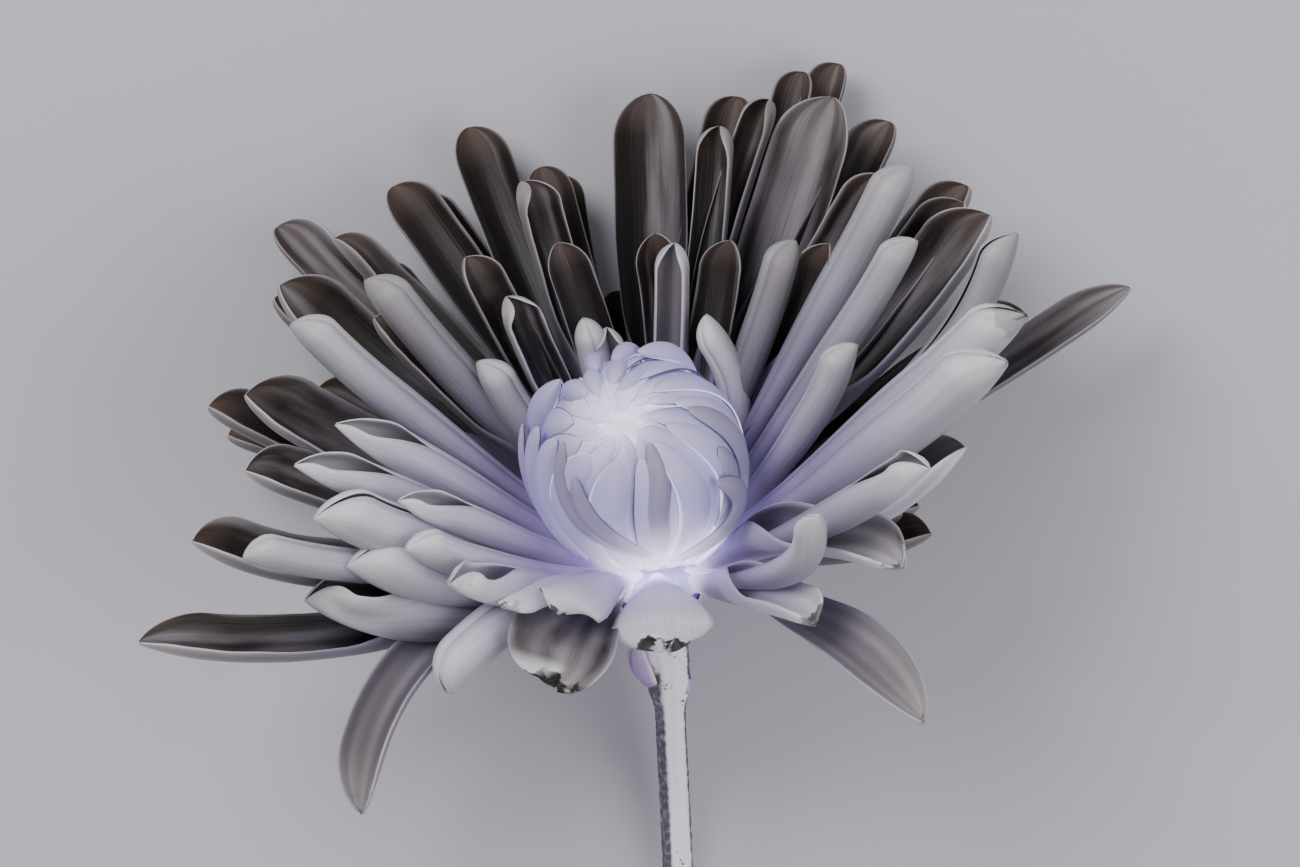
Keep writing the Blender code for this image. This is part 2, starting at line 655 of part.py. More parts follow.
def stem_place(step):
    """Middle of the stem and its direction at a step along the line."""
    index = min(int(step), len(STEM_LINE) - 2)
    share = step - index
    last = len(STEM_LINE) - 1
    before, start, end, after = (
        STEM_LINE[max(0, min(last, index + shift))] for shift in (-1, 0, 1, 2)
    )
    controls = (start, start + (end - before) / 6.0, end - (after - start) / 6.0, end)
    return bezier(controls, share)


def stem_swelling(y):
    """How much thicker the stem is than its plain radius, at y from the crown."""
    collar = 0.32 * math.exp(-((y - COLLAR_AT) / 2.2) ** 2)
    neck = 0.45 * smooth(y, COLLAR_AT - 3.0, COLLAR_AT + 6.0)
    scars = sum(0.16 * math.exp(-((y - place) / 2.4) ** 2) for place in SCARS_AT)
    return 1.0 + collar + neck + scars


def build_stem(material):
    """Ridged stem with its swollen collar, its small bracts and its slanted cut end."""
    rings = []
    last = (len(STEM_LINE) - 1) * STEM_STEPS
    for count in range(last + 1):
        place, ahead = stem_place(count / STEM_STEPS)
        side = ahead.cross(Vector((0.0, 0.0, 1.0))).normalized()
        up = side.cross(ahead)
        radius = STEM_RADIUS * stem_swelling(place.y - UNDER_CROWN.y)
        slant = math.tan(math.radians(CUT_SLANT)) if count == last else 0.0
        ring = []
        for corner in range(STEM_SIDES):
            sine, cosine = turned(360.0 * (corner + 0.5) / STEM_SIDES)
            ridge = 1.0 + STEM_RIB * (1 if corner % 2 else -1)
            point = place + (side * sine - up * cosine) * (radius * ridge)
            point -= ahead * (slant * radius * cosine)
            point.z = max(point.z, 0.0)
            ring.append(point)
        rings.append(ring)
    core = mesh_from_rings("stem", rings)
    bracts = [stem_bract(*bract_values) for bract_values in STEM_BRACTS]
    return fuse("stem", core, bracts, material)


# Bracts on the neck: foot and tip from the point under the crown, width, and the way they face.
STEM_BRACTS = (
    ((-1.6, -18.5, 18.3), (-2.6, -12.0, 24.4), 6.0, (-1.0, -0.1, 0.7)),
    ((3.6, -20.4, 16.6), (4.7, -18.0, 18.8), 2.6, (1.0, -0.1, 0.6)),
)


def stem_bract(foot, head, width, face):
    """A short bulging bract on the neck, from its foot up to its tip."""
    foot = UNDER_CROWN + Vector(foot)
    head = UNDER_CROWN + Vector(head)
    face = Vector(face)
    ahead = (head - foot).normalized()
    side = ahead.cross(face).normalized()
    out = side.cross(ahead)
    length = (head - foot).length
    rings = []
    for share in (-0.1, 0.25, 0.6, 0.85, 1.0):
        half = width / 2.0 * math.sin(math.pi * blend(0.22, 0.93, max(0.0, share)))
        bulge = 1.5 * math.sin(math.pi * max(0.0, share))
        place = foot + ahead * (length * share)
        rings.append([
            place - side * half,
            place + out * (bulge + 0.35),
            place + side * half,
            place - out * 0.9,
        ])
    return mesh_from_rings("stem_bract", rings)


def main():
    for old in list(bpy.data.objects):
        bpy.data.objects.remove(old)
    build_stem(plain_material("stem", (0.55, 0.55, 0.60), 0.6))
    build_involucre(plain_material("bracts", (0.42, 0.30, 0.62), 0.55))
    build_ray_florets(plain_material("open_florets", (0.42, 0.41, 0.48), 0.5))
    build_centre_florets(plain_material("centre_florets", (0.55, 0.54, 0.78), 0.45))


main()
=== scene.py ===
# %% [markdown]
# # A spider chrysanthemum, cut and laid down
# The flower is one bloom on a bare stem. Its long florets are tubes that are rolled shut at the
# root and open into spoons. Young florets in the middle are still folded over each other in a ball.
# The solids of the part already hold every piece's place and size. This lesson makes finer pieces
# that stand in for them, gives each its finish, and sets up the picture.
# The first step loads the solids as a fixed frame and prints their names.

# %% Load the frame
import math
from collections import namedtuple
from random import Random

import bpy
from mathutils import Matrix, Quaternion, Vector


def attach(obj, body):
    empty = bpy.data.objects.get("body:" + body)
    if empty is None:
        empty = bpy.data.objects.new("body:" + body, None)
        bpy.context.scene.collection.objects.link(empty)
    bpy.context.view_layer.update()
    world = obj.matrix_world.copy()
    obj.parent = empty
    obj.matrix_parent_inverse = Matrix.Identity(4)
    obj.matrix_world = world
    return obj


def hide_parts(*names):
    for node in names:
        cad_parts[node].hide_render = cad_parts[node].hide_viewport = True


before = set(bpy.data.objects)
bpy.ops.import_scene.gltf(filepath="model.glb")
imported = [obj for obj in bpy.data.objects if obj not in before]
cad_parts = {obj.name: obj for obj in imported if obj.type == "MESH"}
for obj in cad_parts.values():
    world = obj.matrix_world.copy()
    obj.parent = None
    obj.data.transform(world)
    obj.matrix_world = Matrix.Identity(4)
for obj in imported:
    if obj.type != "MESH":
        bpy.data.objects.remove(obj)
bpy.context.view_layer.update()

print("nodes:", sorted(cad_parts))

# %% [markdown]
# ## The bloom's own directions
# A flower that lies on a table props its bloom on its back florets, so its axis is neither level
# nor upright. Everything in the bloom is placed by that axis, by the direction to its right and by
# the direction to its front, which is the side nearest the stem. Lengths are millimetres here and
# become metres only when a mesh is made.

# %% Axis, crown and ball
MM = 0.001
UNDER_CROWN = Vector((2.6, 43.6, 0.0))
CROWN_HEIGHT = 33.0      # the middle of the ring that the florets grow from
CROWN = UNDER_CROWN + Vector((0.0, 0.0, CROWN_HEIGHT))
FACE_UP = math.radians(40.0)
LEAN = math.radians(7.0)
AXIS = Vector((
    -math.sin(LEAN) * math.cos(FACE_UP),
    math.cos(LEAN) * math.cos(FACE_UP),
    math.sin(FACE_UP),
))
RIGHT = Vector((math.cos(LEAN), math.sin(LEAN), 0.0))
FRONT = RIGHT.cross(AXIS)
BALL_RADIUS = 15.9
BALL_LENGTH = 17.4       # half of its length along the axis
BALL_CENTRE = 19.2       # along the axis, from the crown
BALL = CROWN + AXIS * BALL_CENTRE
EYE_NOD = 24.0           # degrees that the eye is drawn to the front, and to the left
EYE_LEAN = 11.0
FOOT_NOD = -44.0         # degrees that the foot is drawn, the other way about


def outward(azimuth):
    """Direction away from the axis: 0 is the front, 90 the right, 180 the back."""
    turn = math.radians(azimuth)
    return FRONT * math.cos(turn) + RIGHT * math.sin(turn)


def smooth(value, low, high):
    """Ease from 0 at low to 1 at high."""
    share = min(1.0, max(0.0, (value - low) / (high - low)))
    return share * share * (3.0 - 2.0 * share)


def blend(first, second, share):
    return first + (second - first) * share


print("crown", [round(v, 1) for v in CROWN], "axis", [round(v, 2) for v in AXIS])

# %% [markdown]
# ## Light, table and camera
# The camera looks straight down on the table, from far off with a long lens, so that the bloom is
# drawn with next to no perspective. One broad light stands at the upper left and a weaker one at
# the right, as soft boxes do in a studio. The plain, pale table comes last.

# %% Stage
VIEW_WIDTH = 200.0       # mm across the picture at the crown's height
VIEW_MIDDLE = (1.83, 63.06)
CAMERA_HEIGHT = 2500.0   # mm over the crown
SENSOR = 36.0
LIT_SPOT = Vector((0.0, 0.05, 0.03))
SKY = (0.98, 0.97, 1.0, 1.0)
SKY_STRENGTH = 0.45


def put(name, data):
    """A new object in the scene."""
    thing = bpy.data.objects.new(name, data)
    bpy.context.scene.collection.objects.link(thing)
    return thing


def soft_box(name, place, size, power, colour):
    """A round area light that faces the flower. Its place and size are in metres."""
    light = bpy.data.lights.new(name, "AREA")
    light.shape = "DISK"
    light.size = size
    light.energy = power
    light.color = colour
    lamp = put(name, light)
    lamp.location = place
    lamp.rotation_euler = (LIT_SPOT - lamp.location).to_track_quat("-Z", "Y").to_euler()


camera_data = bpy.data.cameras.new("camera")
camera_data.sensor_width = SENSOR
camera_data.lens = SENSOR * CAMERA_HEIGHT / VIEW_WIDTH
camera = put("camera", camera_data)
camera.location = Vector((*VIEW_MIDDLE, CROWN_HEIGHT + CAMERA_HEIGHT)) * MM
bpy.context.scene.camera = camera

soft_box("key", (-0.7, 0.75, 1.3), 0.9, 17.0, (1.0, 0.99, 0.98))
soft_box("fill", (0.9, -0.3, 1.0), 1.0, 8.0, (0.99, 0.98, 1.0))

world = bpy.data.worlds.new("studio")
bpy.context.scene.world = world
world.use_nodes = True
world.node_tree.nodes["Background"].inputs["Color"].default_value = SKY
world.node_tree.nodes["Background"].inputs["Strength"].default_value = SKY_STRENGTH
print("camera lens", round(camera_data.lens), "mm")

# %% [markdown]
# ## A short way to write nodes
# Node trees are long when every node and link is typed out. Here a node's output is wrapped in a
# value that knows plus, minus, times and so on, and each of these adds the math node that does it.
# A formula then reads like one. The maker adds every other kind of node and feeds its inputs.

# %% Node maker
def arithmetic(operation, swapped=False):
    """A method that adds one math node, with its two numbers in order or swapped."""
    def method(self, other):
        return self.make.math(operation, *((other, self) if swapped else (self, other)))

    return method


class Value:
    """One output of a node, which can be reckoned with."""

    def __init__(self, make, socket):
        self.make = make
        self.socket = socket

    def __abs__(self):
        return self.make.math("ABSOLUTE", self)

    __add__ = arithmetic("ADD")
    __sub__ = arithmetic("SUBTRACT")
    __mul__ = arithmetic("MULTIPLY")
    __truediv__ = arithmetic("DIVIDE")
    __pow__ = arithmetic("POWER")
    __radd__ = arithmetic("ADD", swapped=True)
    __rsub__ = arithmetic("SUBTRACT", swapped=True)


class Maker:
    """Adds nodes to a tree and feeds them with values or plain numbers."""

    def __init__(self, tree):
        self.tree = tree

    def feed(self, socket, value):
        if isinstance(value, Value):
            self.tree.links.new(value.socket, socket)
        else:
            socket.default_value = value

    def add(self, kind, *feeds, inputs=None, **settings):
        """A new node with its settings. Its first inputs are fed in order, others by name or number."""
        node = self.tree.nodes.new(kind)
        for name, setting in settings.items():
            setattr(node, name, setting)
        for socket, value in zip(node.inputs, feeds):
            self.feed(socket, value)
        for name, value in (inputs or {}).items():
            self.feed(node.inputs[name], value)
        return node

    def value(self, kind, *feeds, output=0, **rest):
        """The same, but it hands back one output of the node."""
        return Value(self, self.add(kind, *feeds, **rest).outputs[output])

    def given(self):
        """The inputs of the tree itself, by name."""
        return {socket.name: Value(self, socket) for socket in self.add("NodeGroupInput").outputs}

    def math(self, operation, *feeds):
        return self.value("ShaderNodeMath", *feeds, operation=operation)

    def fade(self, value, low, high):
        """0 below low, 1 above high, and eased between."""
        return self.value("ShaderNodeMapRange", value, low, high, interpolation_type="SMOOTHSTEP")

    def combine(self, x, y, z):
        return self.value("ShaderNodeCombineXYZ", x, y, z)

    def noise(self, place, scale=1.0, detail=2.0):
        inputs = {"Vector": place, "Scale": scale, "Detail": detail}
        return self.value("ShaderNodeTexNoise", inputs=inputs)

    def object_place(self):
        return self.value("ShaderNodeTexCoord", output="Object")

    def shifted(self, place, direction, distance):
        """A place moved along a direction."""
        inputs = {"Scale": distance}
        shift = self.value("ShaderNodeVectorMath", direction, operation="SCALE", inputs=inputs)
        return self.value("ShaderNodeVectorMath", place, shift, operation="ADD")


def new_tree(name, inputs):
    """A geometry tree with named number inputs and a material: the tree, its maker and inputs."""
    tree = bpy.data.node_groups.new(name, "GeometryNodeTree")
    sockets = tree.interface
    sockets.new_socket("Geometry", in_out="INPUT", socket_type="NodeSocketGeometry")
    for label, value in inputs.items():
        kind = "NodeSocketInt" if isinstance(value, int) else "NodeSocketFloat"
        sockets.new_socket(label, in_out="INPUT", socket_type=kind).default_value = value
    sockets.new_socket("Material", in_out="INPUT", socket_type="NodeSocketMaterial")
    sockets.new_socket("Geometry", in_out="OUTPUT", socket_type="NodeSocketGeometry")
    make = Maker(tree)
    return tree, make, make.given()


# %% [markdown]
# ## One tree for every petal
# Each floret is a strip with two skins. Seen in section it is an arc: nearly a full circle where
# the floret is rolled shut, and a shallow bow where it opens. The tree sweeps a closed loop along
# the floret's keel. Each point of the loop knows how far across it lies, from -1 to 1, and which
# skin it is on. Each point of the keel knows the directions across and inward, the half width and
# the curl. A formula then puts every point in place. Ridges run along the petal, margins ruffle,
# and a torn tip has an uneven edge.

# %% Petal tree
PETAL_INPUTS = {
    "Loop Points": 30,
    "Wall": 0.5,
    "Ridges": 4.0,
    "Ridge Height": 0.07,
    "Ruffle": 0.5,
    "Seed": 7,
}
RUFFLES = 7.0            # waves along a margin
TEETH = 6.0              # teeth across a torn edge
TOOTH_LENGTH = 13.0


def store(make, geometry, name, value):
    """Keep a number on every point under a name."""
    inputs = {"Name": name, "Value": value}
    kind = {"data_type": "FLOAT", "domain": "POINT"}
    return make.value("GeometryNodeStoreNamedAttribute", geometry, inputs=inputs, **kind)


def read(make, name, kind="FLOAT"):
    """The number or direction that every point keeps under a name."""
    return make.value("GeometryNodeInputNamedAttribute", data_type=kind, inputs={"Name": name})


def placed(make, mesh, sideways, inward, forward):
    """A swept mesh with each point put at its distances from the keel."""
    place = read(make, "keel", "FLOAT_VECTOR")
    for name, distance in (("across", sideways), ("inner", inward), ("ahead", forward)):
        place = make.shifted(place, read(make, name, "FLOAT_VECTOR"), distance)
    return make.value("GeometryNodeSetPosition", mesh, inputs={"Position": place})


def finish_tree(make, geometry, material):
    """Smooth shading, real geometry and the material, which every tree ends in."""
    shaded_smooth = make.value("GeometryNodeSetShadeSmooth", geometry)
    real = make.value("GeometryNodeRealizeInstances", shaded_smooth)
    dressed = make.value("GeometryNodeSetMaterial", real, inputs={"Material": material})
    make.add("NodeGroupOutput", dressed)


def swept(make, given, numbers):
    """The loop carried along the keel, with a number on each of the loop's points."""
    count = {"Resolution": given["Loop Points"]}
    loop = make.value("GeometryNodeCurvePrimitiveCircle", inputs=count)
    for name, value in numbers.items():
        loop = store(make, loop, name, value)
    keel = make.value("GeometryNodeMeshToCurve", given["Geometry"])
    return make.value("GeometryNodeCurveToMesh", keel, loop, inputs={"Fill Caps": True})


def petal_tree():
    tree, make, given = new_tree("petal", PETAL_INPUTS)
    half = given["Loop Points"] / 2.0
    index = make.value("GeometryNodeInputIndex")
    inside = make.math("GREATER_THAN", index, half - 0.5)
    sweep = (index - inside * half) * 2.0 / (half - 1.0) - 1.0
    skin = inside * 2.0 - 1.0
    strip = swept(make, given, {"side": sweep * skin * -1.0, "skin": skin})

    side, along, curl, chance = (read(make, name) for name in ("side", "along", "curl", "chance"))
    bow = read(make, "half") / make.math("SINE", make.math("MINIMUM", curl, math.pi / 2.0))
    thin = 1.0 - abs(side) ** 3.0 * 0.5
    wall = given["Wall"] * (0.5 * MM) * thin
    open_part = make.fade(along, 0.1, 0.5)
    ridge = make.math("COSINE", side * given["Ridges"] * math.pi) * given["Ridge Height"]
    reach = bow - read(make, "skin") * wall + ridge * MM * open_part
    angle = curl * side
    sideways = reach * make.math("SINE", angle)
    inward = bow - reach * make.math("COSINE", angle)

    # Chance and seed only shift the noise, so that no two petals are alike.
    seed = given["Seed"] * 3.7
    wave = make.noise(make.combine(along * RUFFLES, side, chance * 60.0 + seed)) - 0.5
    margin = abs(side) ** 2.0 * open_part * (1.0 - make.fade(curl, 1.9, 2.6))
    ruffle = wave * (given["Ruffle"] * (2.0 * MM)) * margin
    rag = make.noise(make.combine(side * TEETH, chance * 90.0, seed), detail=5.0) - 0.5
    rag = rag * (read(make, "torn") * (TOOTH_LENGTH * MM)) * make.fade(along, 0.86, 1.0)
    petal = placed(make, strip, sideways, inward + ruffle, rag)
    finish_tree(make, petal, given["Material"])
    return tree


PETAL_TREE = petal_tree()
print("petal tree:", len(PETAL_TREE.nodes), "nodes")

# %% [markdown]
# ## From a list of keels to one mesh
# Every piece of the bloom is a group of petals. A guide mesh holds a chain of points for each
# petal, with the numbers that the tree reads. The modifier turns the guide into petals, and the
# result is kept as a plain mesh.

# %% Guide mesh and modifier
POINT_NUMBERS = ("along", "half", "curl", "chance", "torn", "face", "back")
POINT_DIRECTIONS = ("keel", "across", "inner", "ahead")


def keel_point(keel, across, inner, ahead, along, half, curl, chance=0.5, torn=0.0, face=0.5, back=0.5):
    """What a tree reads at one point of a keel. Its place and half width are in mm."""
    return {
        "keel": keel, "across": across, "inner": inner, "ahead": ahead, "along": along,
        "half": half * MM, "curl": math.radians(curl), "chance": chance, "torn": torn,
        "face": face, "back": back,
    }


def guide_mesh(name, petals):
    """Chains of keel points, one chain for each petal."""
    points = [point for petal in petals for point in petal]
    links = []
    start = 0
    for petal in petals:
        links += [(start + index, start + index + 1) for index in range(len(petal) - 1)]
        start += len(petal)
    mesh = bpy.data.meshes.new(name)
    mesh.from_pydata([point["keel"] * MM for point in points], links, [])
    for key in POINT_NUMBERS:
        layer = mesh.attributes.new(key, "FLOAT", "POINT")
        layer.data.foreach_set("value", [point[key] for point in points])
    for key in POINT_DIRECTIONS:
        unit = MM if key == "keel" else 1.0
        layer = mesh.attributes.new(key, "FLOAT_VECTOR", "POINT")
        layer.data.foreach_set("vector", [part * unit for point in points for part in point[key]])
    return mesh


def grow(name, petals, tree, material, **values):
    """Grow petals along their keels with a tree, and keep the result as a plain object."""
    guide = guide_mesh(name, petals)
    piece = put(name, guide)
    modifier = piece.modifiers.new("grow", "NODES")
    modifier.node_group = tree
    values["Material"] = material
    for item in tree.interface.items_tree:
        if item.in_out == "INPUT" and item.name in values:
            modifier[item.identifier] = values[item.name]
    evaluated = piece.evaluated_get(bpy.context.evaluated_depsgraph_get())
    mesh = bpy.data.meshes.new_from_object(evaluated)
    mesh.name = name
    piece.modifiers.clear()
    piece.data = mesh
    bpy.data.meshes.remove(guide)
    return piece


def finish_piece(piece, node):
    """Ride on the part's one body, stand for the node's solid, and report."""
    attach(piece, "root")
    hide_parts(node)
    piece.data.calc_loop_triangles()
    low = [round(min(v.co[i] for v in piece.data.vertices) / MM, 1) for i in range(3)]
    high = [round(max(v.co[i] for v in piece.data.vertices) / MM, 1) for i in range(3)]
    print(piece.name, len(piece.data.loop_triangles), "triangles", low, high)


print("each point keeps", len(POINT_NUMBERS), "numbers and", len(POINT_DIRECTIONS), "directions")

# %% [markdown]
# ## Where each open floret goes
# The florets were placed one by one, because a spider chrysanthemum is never even. Each row gives
# the place of the tip in mm from the crown, seen from above, the angle at which it rises from the
# bloom's plane (or its height z), its greatest width, how far it gapes there and where along it the
# tube opens. near and far bow it towards the axis, sway bows it sideways and roll twists it. An arc
# above 0.7 lets it curl over and hang, point sharpens its tip, and widest says where along it the
# floret is broadest. Then come its looks: how pale its inner face and its back are, from 0 to 1,
# which is partly the floret's own tone and partly painted light and shade by where it lies in the
# bloom, and how torn its tip is. A gape below 0 is a floret whose margins bend back.

# %% Table of open florets
ROLLED = 180.5           # degrees from the keel to each margin where a floret is rolled shut
FIELDS = "x y rise z across gape mouth near far sway roll arc point widest face back torn"
DEFAULTS = (None, None, 7.0, 120, 0.6, -1.5, -4.0, 0.0, 0.0, 0.7, 0.05, 0.68, 0.6, 0.6, 0.0)
Floret = namedtuple("Floret", FIELDS, defaults=DEFAULTS)

LEFT_FLORETS = (
    Floret(-79.0, -12.5, 4, across=9.0, gape=85, mouth=0.45, sway=5.0, point=0.4, face=0.14, back=0.5),
    Floret(-53.5, -6.0, 10, across=9.5, gape=120, mouth=0.8, sway=7.0, face=0.3, back=0.62),
    Floret(-70.8, 3.0, 14, across=10.0, gape=80, mouth=0.4, far=-9.0, sway=1.5, face=0.18, back=0.5),
    Floret(-62.8, 0.5, 18, across=5.0, gape=ROLLED, mouth=0.8, sway=1.0, face=0.5, back=0.68),
    Floret(-46.9, -0.8, 19, across=7.8, gape=174, mouth=0.7, sway=4.0, face=0.8, back=0.92),
    Floret(-52.0, 6.5, 25, across=8.2, gape=172, mouth=0.7, sway=2.5, face=0.75, back=0.86),
    Floret(-38.0, 1.8, 27, across=5.3, gape=ROLLED, mouth=0.75, sway=1.5, face=0.7, back=0.86),
    Floret(-31.2, -3.5, 25, across=6.0, gape=110, mouth=0.8, sway=1.5, face=0.7, back=0.9, torn=0.25),
    Floret(-23.0, -6.5, 22, across=6.0, gape=-60, near=2.0, far=3.0, face=0.9, back=0.9, torn=0.35),
    Floret(-62.8, 13.8, 19, across=9.5, gape=85, mouth=0.45, face=0.15, back=0.5),
    Floret(-55.0, 14.6, 27, across=6.0, gape=118, mouth=0.86, point=0.5, face=0.62, back=0.8),
    Floret(-39.0, 9.2, 33, across=5.2, gape=115, mouth=0.84, point=0.5, face=0.65, back=0.78),
    Floret(-48.8, 20.8, 33, across=6.2, gape=118, mouth=0.86, point=0.6, face=0.6, back=0.72),
    Floret(-63.0, 25.4, 22, across=12.0, gape=78, mouth=0.42, far=-7.0, face=0.2, back=0.5),
    Floret(-55.8, 36.2, 36, across=6.0, gape=ROLLED, mouth=0.8, sway=1.0, face=0.3, back=0.64),
    Floret(-58.0, 42.3, 25, across=11.0, gape=82, mouth=0.45, far=-7.0, face=0.16, back=0.45),
    Floret(-58.8, 51.5, 19, across=8.0, gape=85, mouth=0.45, face=0.2, back=0.25),
    Floret(-49.7, 49.5, 29, across=8.0, gape=80, mouth=0.45, sway=-2.0, roll=35, face=0.15, back=0.35),
    Floret(-44.5, 43.0, 39, across=6.2, gape=ROLLED, mouth=0.8, face=0.2, back=0.52),
    Floret(-40.8, 57.7, 27, across=8.5, gape=80, mouth=0.4, sway=-2.0, face=0.03, back=0.2),
    Floret(-29.2, 67.0, 27, across=8.5, gape=85, mouth=0.45, far=-7.0, face=0.08, back=0.25),
    Floret(-20.5, 58.5, 37, across=6.4, gape=105, mouth=0.5, roll=20, face=0.12, back=0.42),
    Floret(-17.7, 60.8, 31, across=7.0, gape=90, mouth=0.5, face=0.05, back=0.15),
    Floret(-27.2, 30.5, 44, across=5.2, gape=ROLLED, mouth=0.8, face=0.4, back=0.65),
    Floret(-22.8, 40.5, 45, across=5.8, gape=105, mouth=0.55, face=0.25, back=0.6),
    Floret(-11.0, 37.2, 48, across=4.4, gape=ROLLED, mouth=0.8, face=0.4, back=0.7),
    Floret(-7.4, 35.7, 49, across=5.0, gape=100, mouth=0.5, sway=1.5, face=0.35, back=0.62),
)
FRONT_FLORETS = (
    Floret(
        -15.2, -7.6, z=25.0, across=12.5, gape=-60, near=6.0, far=8.5, sway=2.5, arc=1.1, point=0.0,
        face=0.95, back=0.95, torn=0.5,
    ),
    Floret(
        1.5, -13.0, z=23.0, across=15.5, gape=-34, near=6.0, far=9.0, arc=1.1, point=-0.4,
        widest=0.74, face=0.95, back=0.9, torn=1.0,
    ),
    Floret(
        24.0, -9.5, z=29.0, across=9.0, gape=75, mouth=0.5, near=3.0, far=4.5, sway=-2.5, arc=0.9,
        roll=-20, face=0.7, back=0.85, torn=0.45,
    ),
    Floret(
        -31.5, -20.0, -4, across=7.4, gape=ROLLED, mouth=0.7, near=5.0, far=5.0, face=0.75,
        back=0.86, torn=0.2,
    ),
    Floret(
        -15.0, -18.5, z=21.0, across=18.0, gape=40, mouth=0.2, near=7.0, far=8.0, arc=0.9, roll=-10,
        point=-0.1, widest=0.84, face=0.34, back=0.6, torn=0.7,
    ),
    Floret(
        -45.0, -38.8, -20, across=7.4, gape=95, mouth=0.4, near=7.0, far=11.0, sway=-9.0, roll=-25,
        point=0.4, face=0.4, back=0.5, torn=0.25,
    ),
    Floret(
        40.8, -24.2, -5, across=10.5, gape=50, mouth=0.3, near=5.0, far=7.0, sway=2.0, point=0.45,
        face=0.42, back=0.5, torn=0.2,
    ),
)
BACK_FLORETS = (
    Floret(-0.8, 72.3, 31, across=11.0, gape=85, mouth=0.42, far=-7.0, face=0.14, back=0.35),
    Floret(10.0, 67.0, 36, across=5.4, gape=115, mouth=0.5, sway=-1.0, face=0.12, back=0.42),
    Floret(17.7, 71.2, 33, across=5.0, gape=120, mouth=0.5, sway=4.0, face=0.1, back=0.3),
    Floret(13.0, 71.8, 28, across=7.5, gape=90, mouth=0.5, sway=2.0, face=0.05, back=0.2),
    Floret(27.7, 71.5, 31, across=12.5, gape=80, mouth=0.42, far=-7.0, face=0.26, back=0.42),
    Floret(23.0, 75.7, 27, across=6.0, gape=95, mouth=0.5, face=0.05, back=0.2),
    Floret(28.5, 77.0, 25, across=6.0, gape=95, mouth=0.5, face=0.05, back=0.2),
    Floret(36.6, 67.7, 27, across=7.5, gape=90, mouth=0.45, sway=1.5, face=0.05, back=0.25),
    Floret(3.0, 48.8, 44, across=5.0, gape=130, mouth=0.5, face=0.4, back=0.62),
    Floret(21.5, 49.2, 41, across=5.2, gape=ROLLED, mouth=0.7, face=0.3, back=0.5),
    Floret(7.8, 37.7, 46, across=4.6, gape=ROLLED, mouth=0.85, sway=-9.0, face=0.5, back=0.78),
)
RIGHT_FLORETS = (
    Floret(39.5, 60.3, 38, across=6.2, gape=ROLLED, mouth=0.85, face=0.4, back=0.62),
    Floret(36.0, 59.0, 31, across=7.5, gape=95, mouth=0.5, sway=2.0, face=0.15, back=0.35),
    Floret(40.0, 49.0, 41, across=5.2, gape=ROLLED, mouth=0.85, face=0.4, back=0.64),
    Floret(30.8, 33.0, 43, across=5.0, gape=ROLLED, mouth=0.8, sway=-2.0, face=0.4, back=0.66),
    Floret(48.5, 57.7, 23, across=8.0, gape=90, mouth=0.45, face=0.1, back=0.3),
    Floret(47.7, 55.0, 27, across=8.0, gape=90, mouth=0.45, face=0.12, back=0.4),
    Floret(51.5, 53.0, 30, across=11.5, gape=85, mouth=0.45, far=-6.0, face=0.18, back=0.5),
    Floret(55.4, 50.0, 33, across=5.4, gape=172, mouth=0.7, far=-10.0, sway=-5.0, face=0.4, back=0.6),
    Floret(56.5, 37.2, 34, across=7.6, gape=ROLLED, mouth=0.8, sway=-1.0, face=0.4, back=0.76, torn=0.3),
    Floret(53.5, 30.0, 33, across=8.6, gape=ROLLED, mouth=0.8, sway=-2.0, face=0.4, back=0.8, torn=0.2),
    Floret(73.5, 42.0, 11, across=8.0, gape=70, mouth=0.4, point=0.45, face=0.3, back=0.35),
    Floret(47.4, 17.4, 23, across=9.5, gape=85, mouth=0.45, sway=-4.0, face=0.35, back=0.72),
    Floret(41.5, 14.2, 33, across=5.6, gape=130, mouth=0.85, sway=-1.5, face=0.5, back=0.76),
    Floret(
        37.4, -0.8, 16, across=9.5, gape=85, mouth=0.5, near=3.0, far=4.0, sway=2.0, face=0.5,
        back=0.92, torn=0.4,
    ),
    Floret(
        25.0, 6.8, 36, across=4.8, gape=175, mouth=0.75, near=1.0, far=-6.0, sway=-7.0, arc=0.8,
        face=0.8, back=0.9,
    ),
)
print(len(LEFT_FLORETS + FRONT_FLORETS + BACK_FLORETS + RIGHT_FLORETS), "florets placed by hand")

# %% [markdown]
# ## The whorls below
# Under the florets that can be seen are more whorls, which carry the bloom on the table. They are
# spread evenly, with a little chance in their turn, rise and length from a fixed seed. Each keeps
# its broad part at a height over the table.

# %% Hidden whorls
Whorl = namedtuple("Whorl", "count first last rise length across clear")
HIDDEN_WHORLS = (
    Whorl(6, 122, 246, 41, 56, 6.5, 6.0),
    Whorl(10, 106, 256, 19, 73, 7.6, 6.0),
    Whorl(9, 112, 250, 3, 70, 7.4, 0.2),
    Whorl(2, 82, 96, 5, 46, 7.0, 6.0),
    Whorl(2, 262, 278, -3, 44, 7.0, 6.0),
)
JITTER = 3.0             # degrees or mm by which a piece may be off its even place
PLACED_CLEAR = 2.0       # height that a floret of the tables keeps over the table top
LOWEST_TIP = -60.0       # where the search for a tip's height starts, from the crown


def hidden_florets():
    """Tip and form of each floret in the hidden whorls, a little off its even place."""
    draw = Random(7)
    made = []
    for whorl in HIDDEN_WHORLS:
        for index in range(whorl.count):
            even = blend(whorl.first, whorl.last, (index + 0.5) / whorl.count)
            azimuth = even + draw.uniform(-JITTER, JITTER)
            rise = math.radians(whorl.rise + draw.uniform(-JITTER, JITTER))
            length = whorl.length * draw.uniform(0.9, 1.04)
            tip = (outward(azimuth) * math.cos(rise) + AXIS * math.sin(rise)) * length
            # Their inner faces are painted dark, as painted shade in the gaps under the florets that show.
            looks = {"gape": 90, "mouth": 0.45, "face": 0.05, "back": 0.3}
            form = Floret(0, 0, across=whorl.across, sway=draw.uniform(-JITTER, JITTER), **looks)
            made.append((tip, form, whorl.clear))
    return made


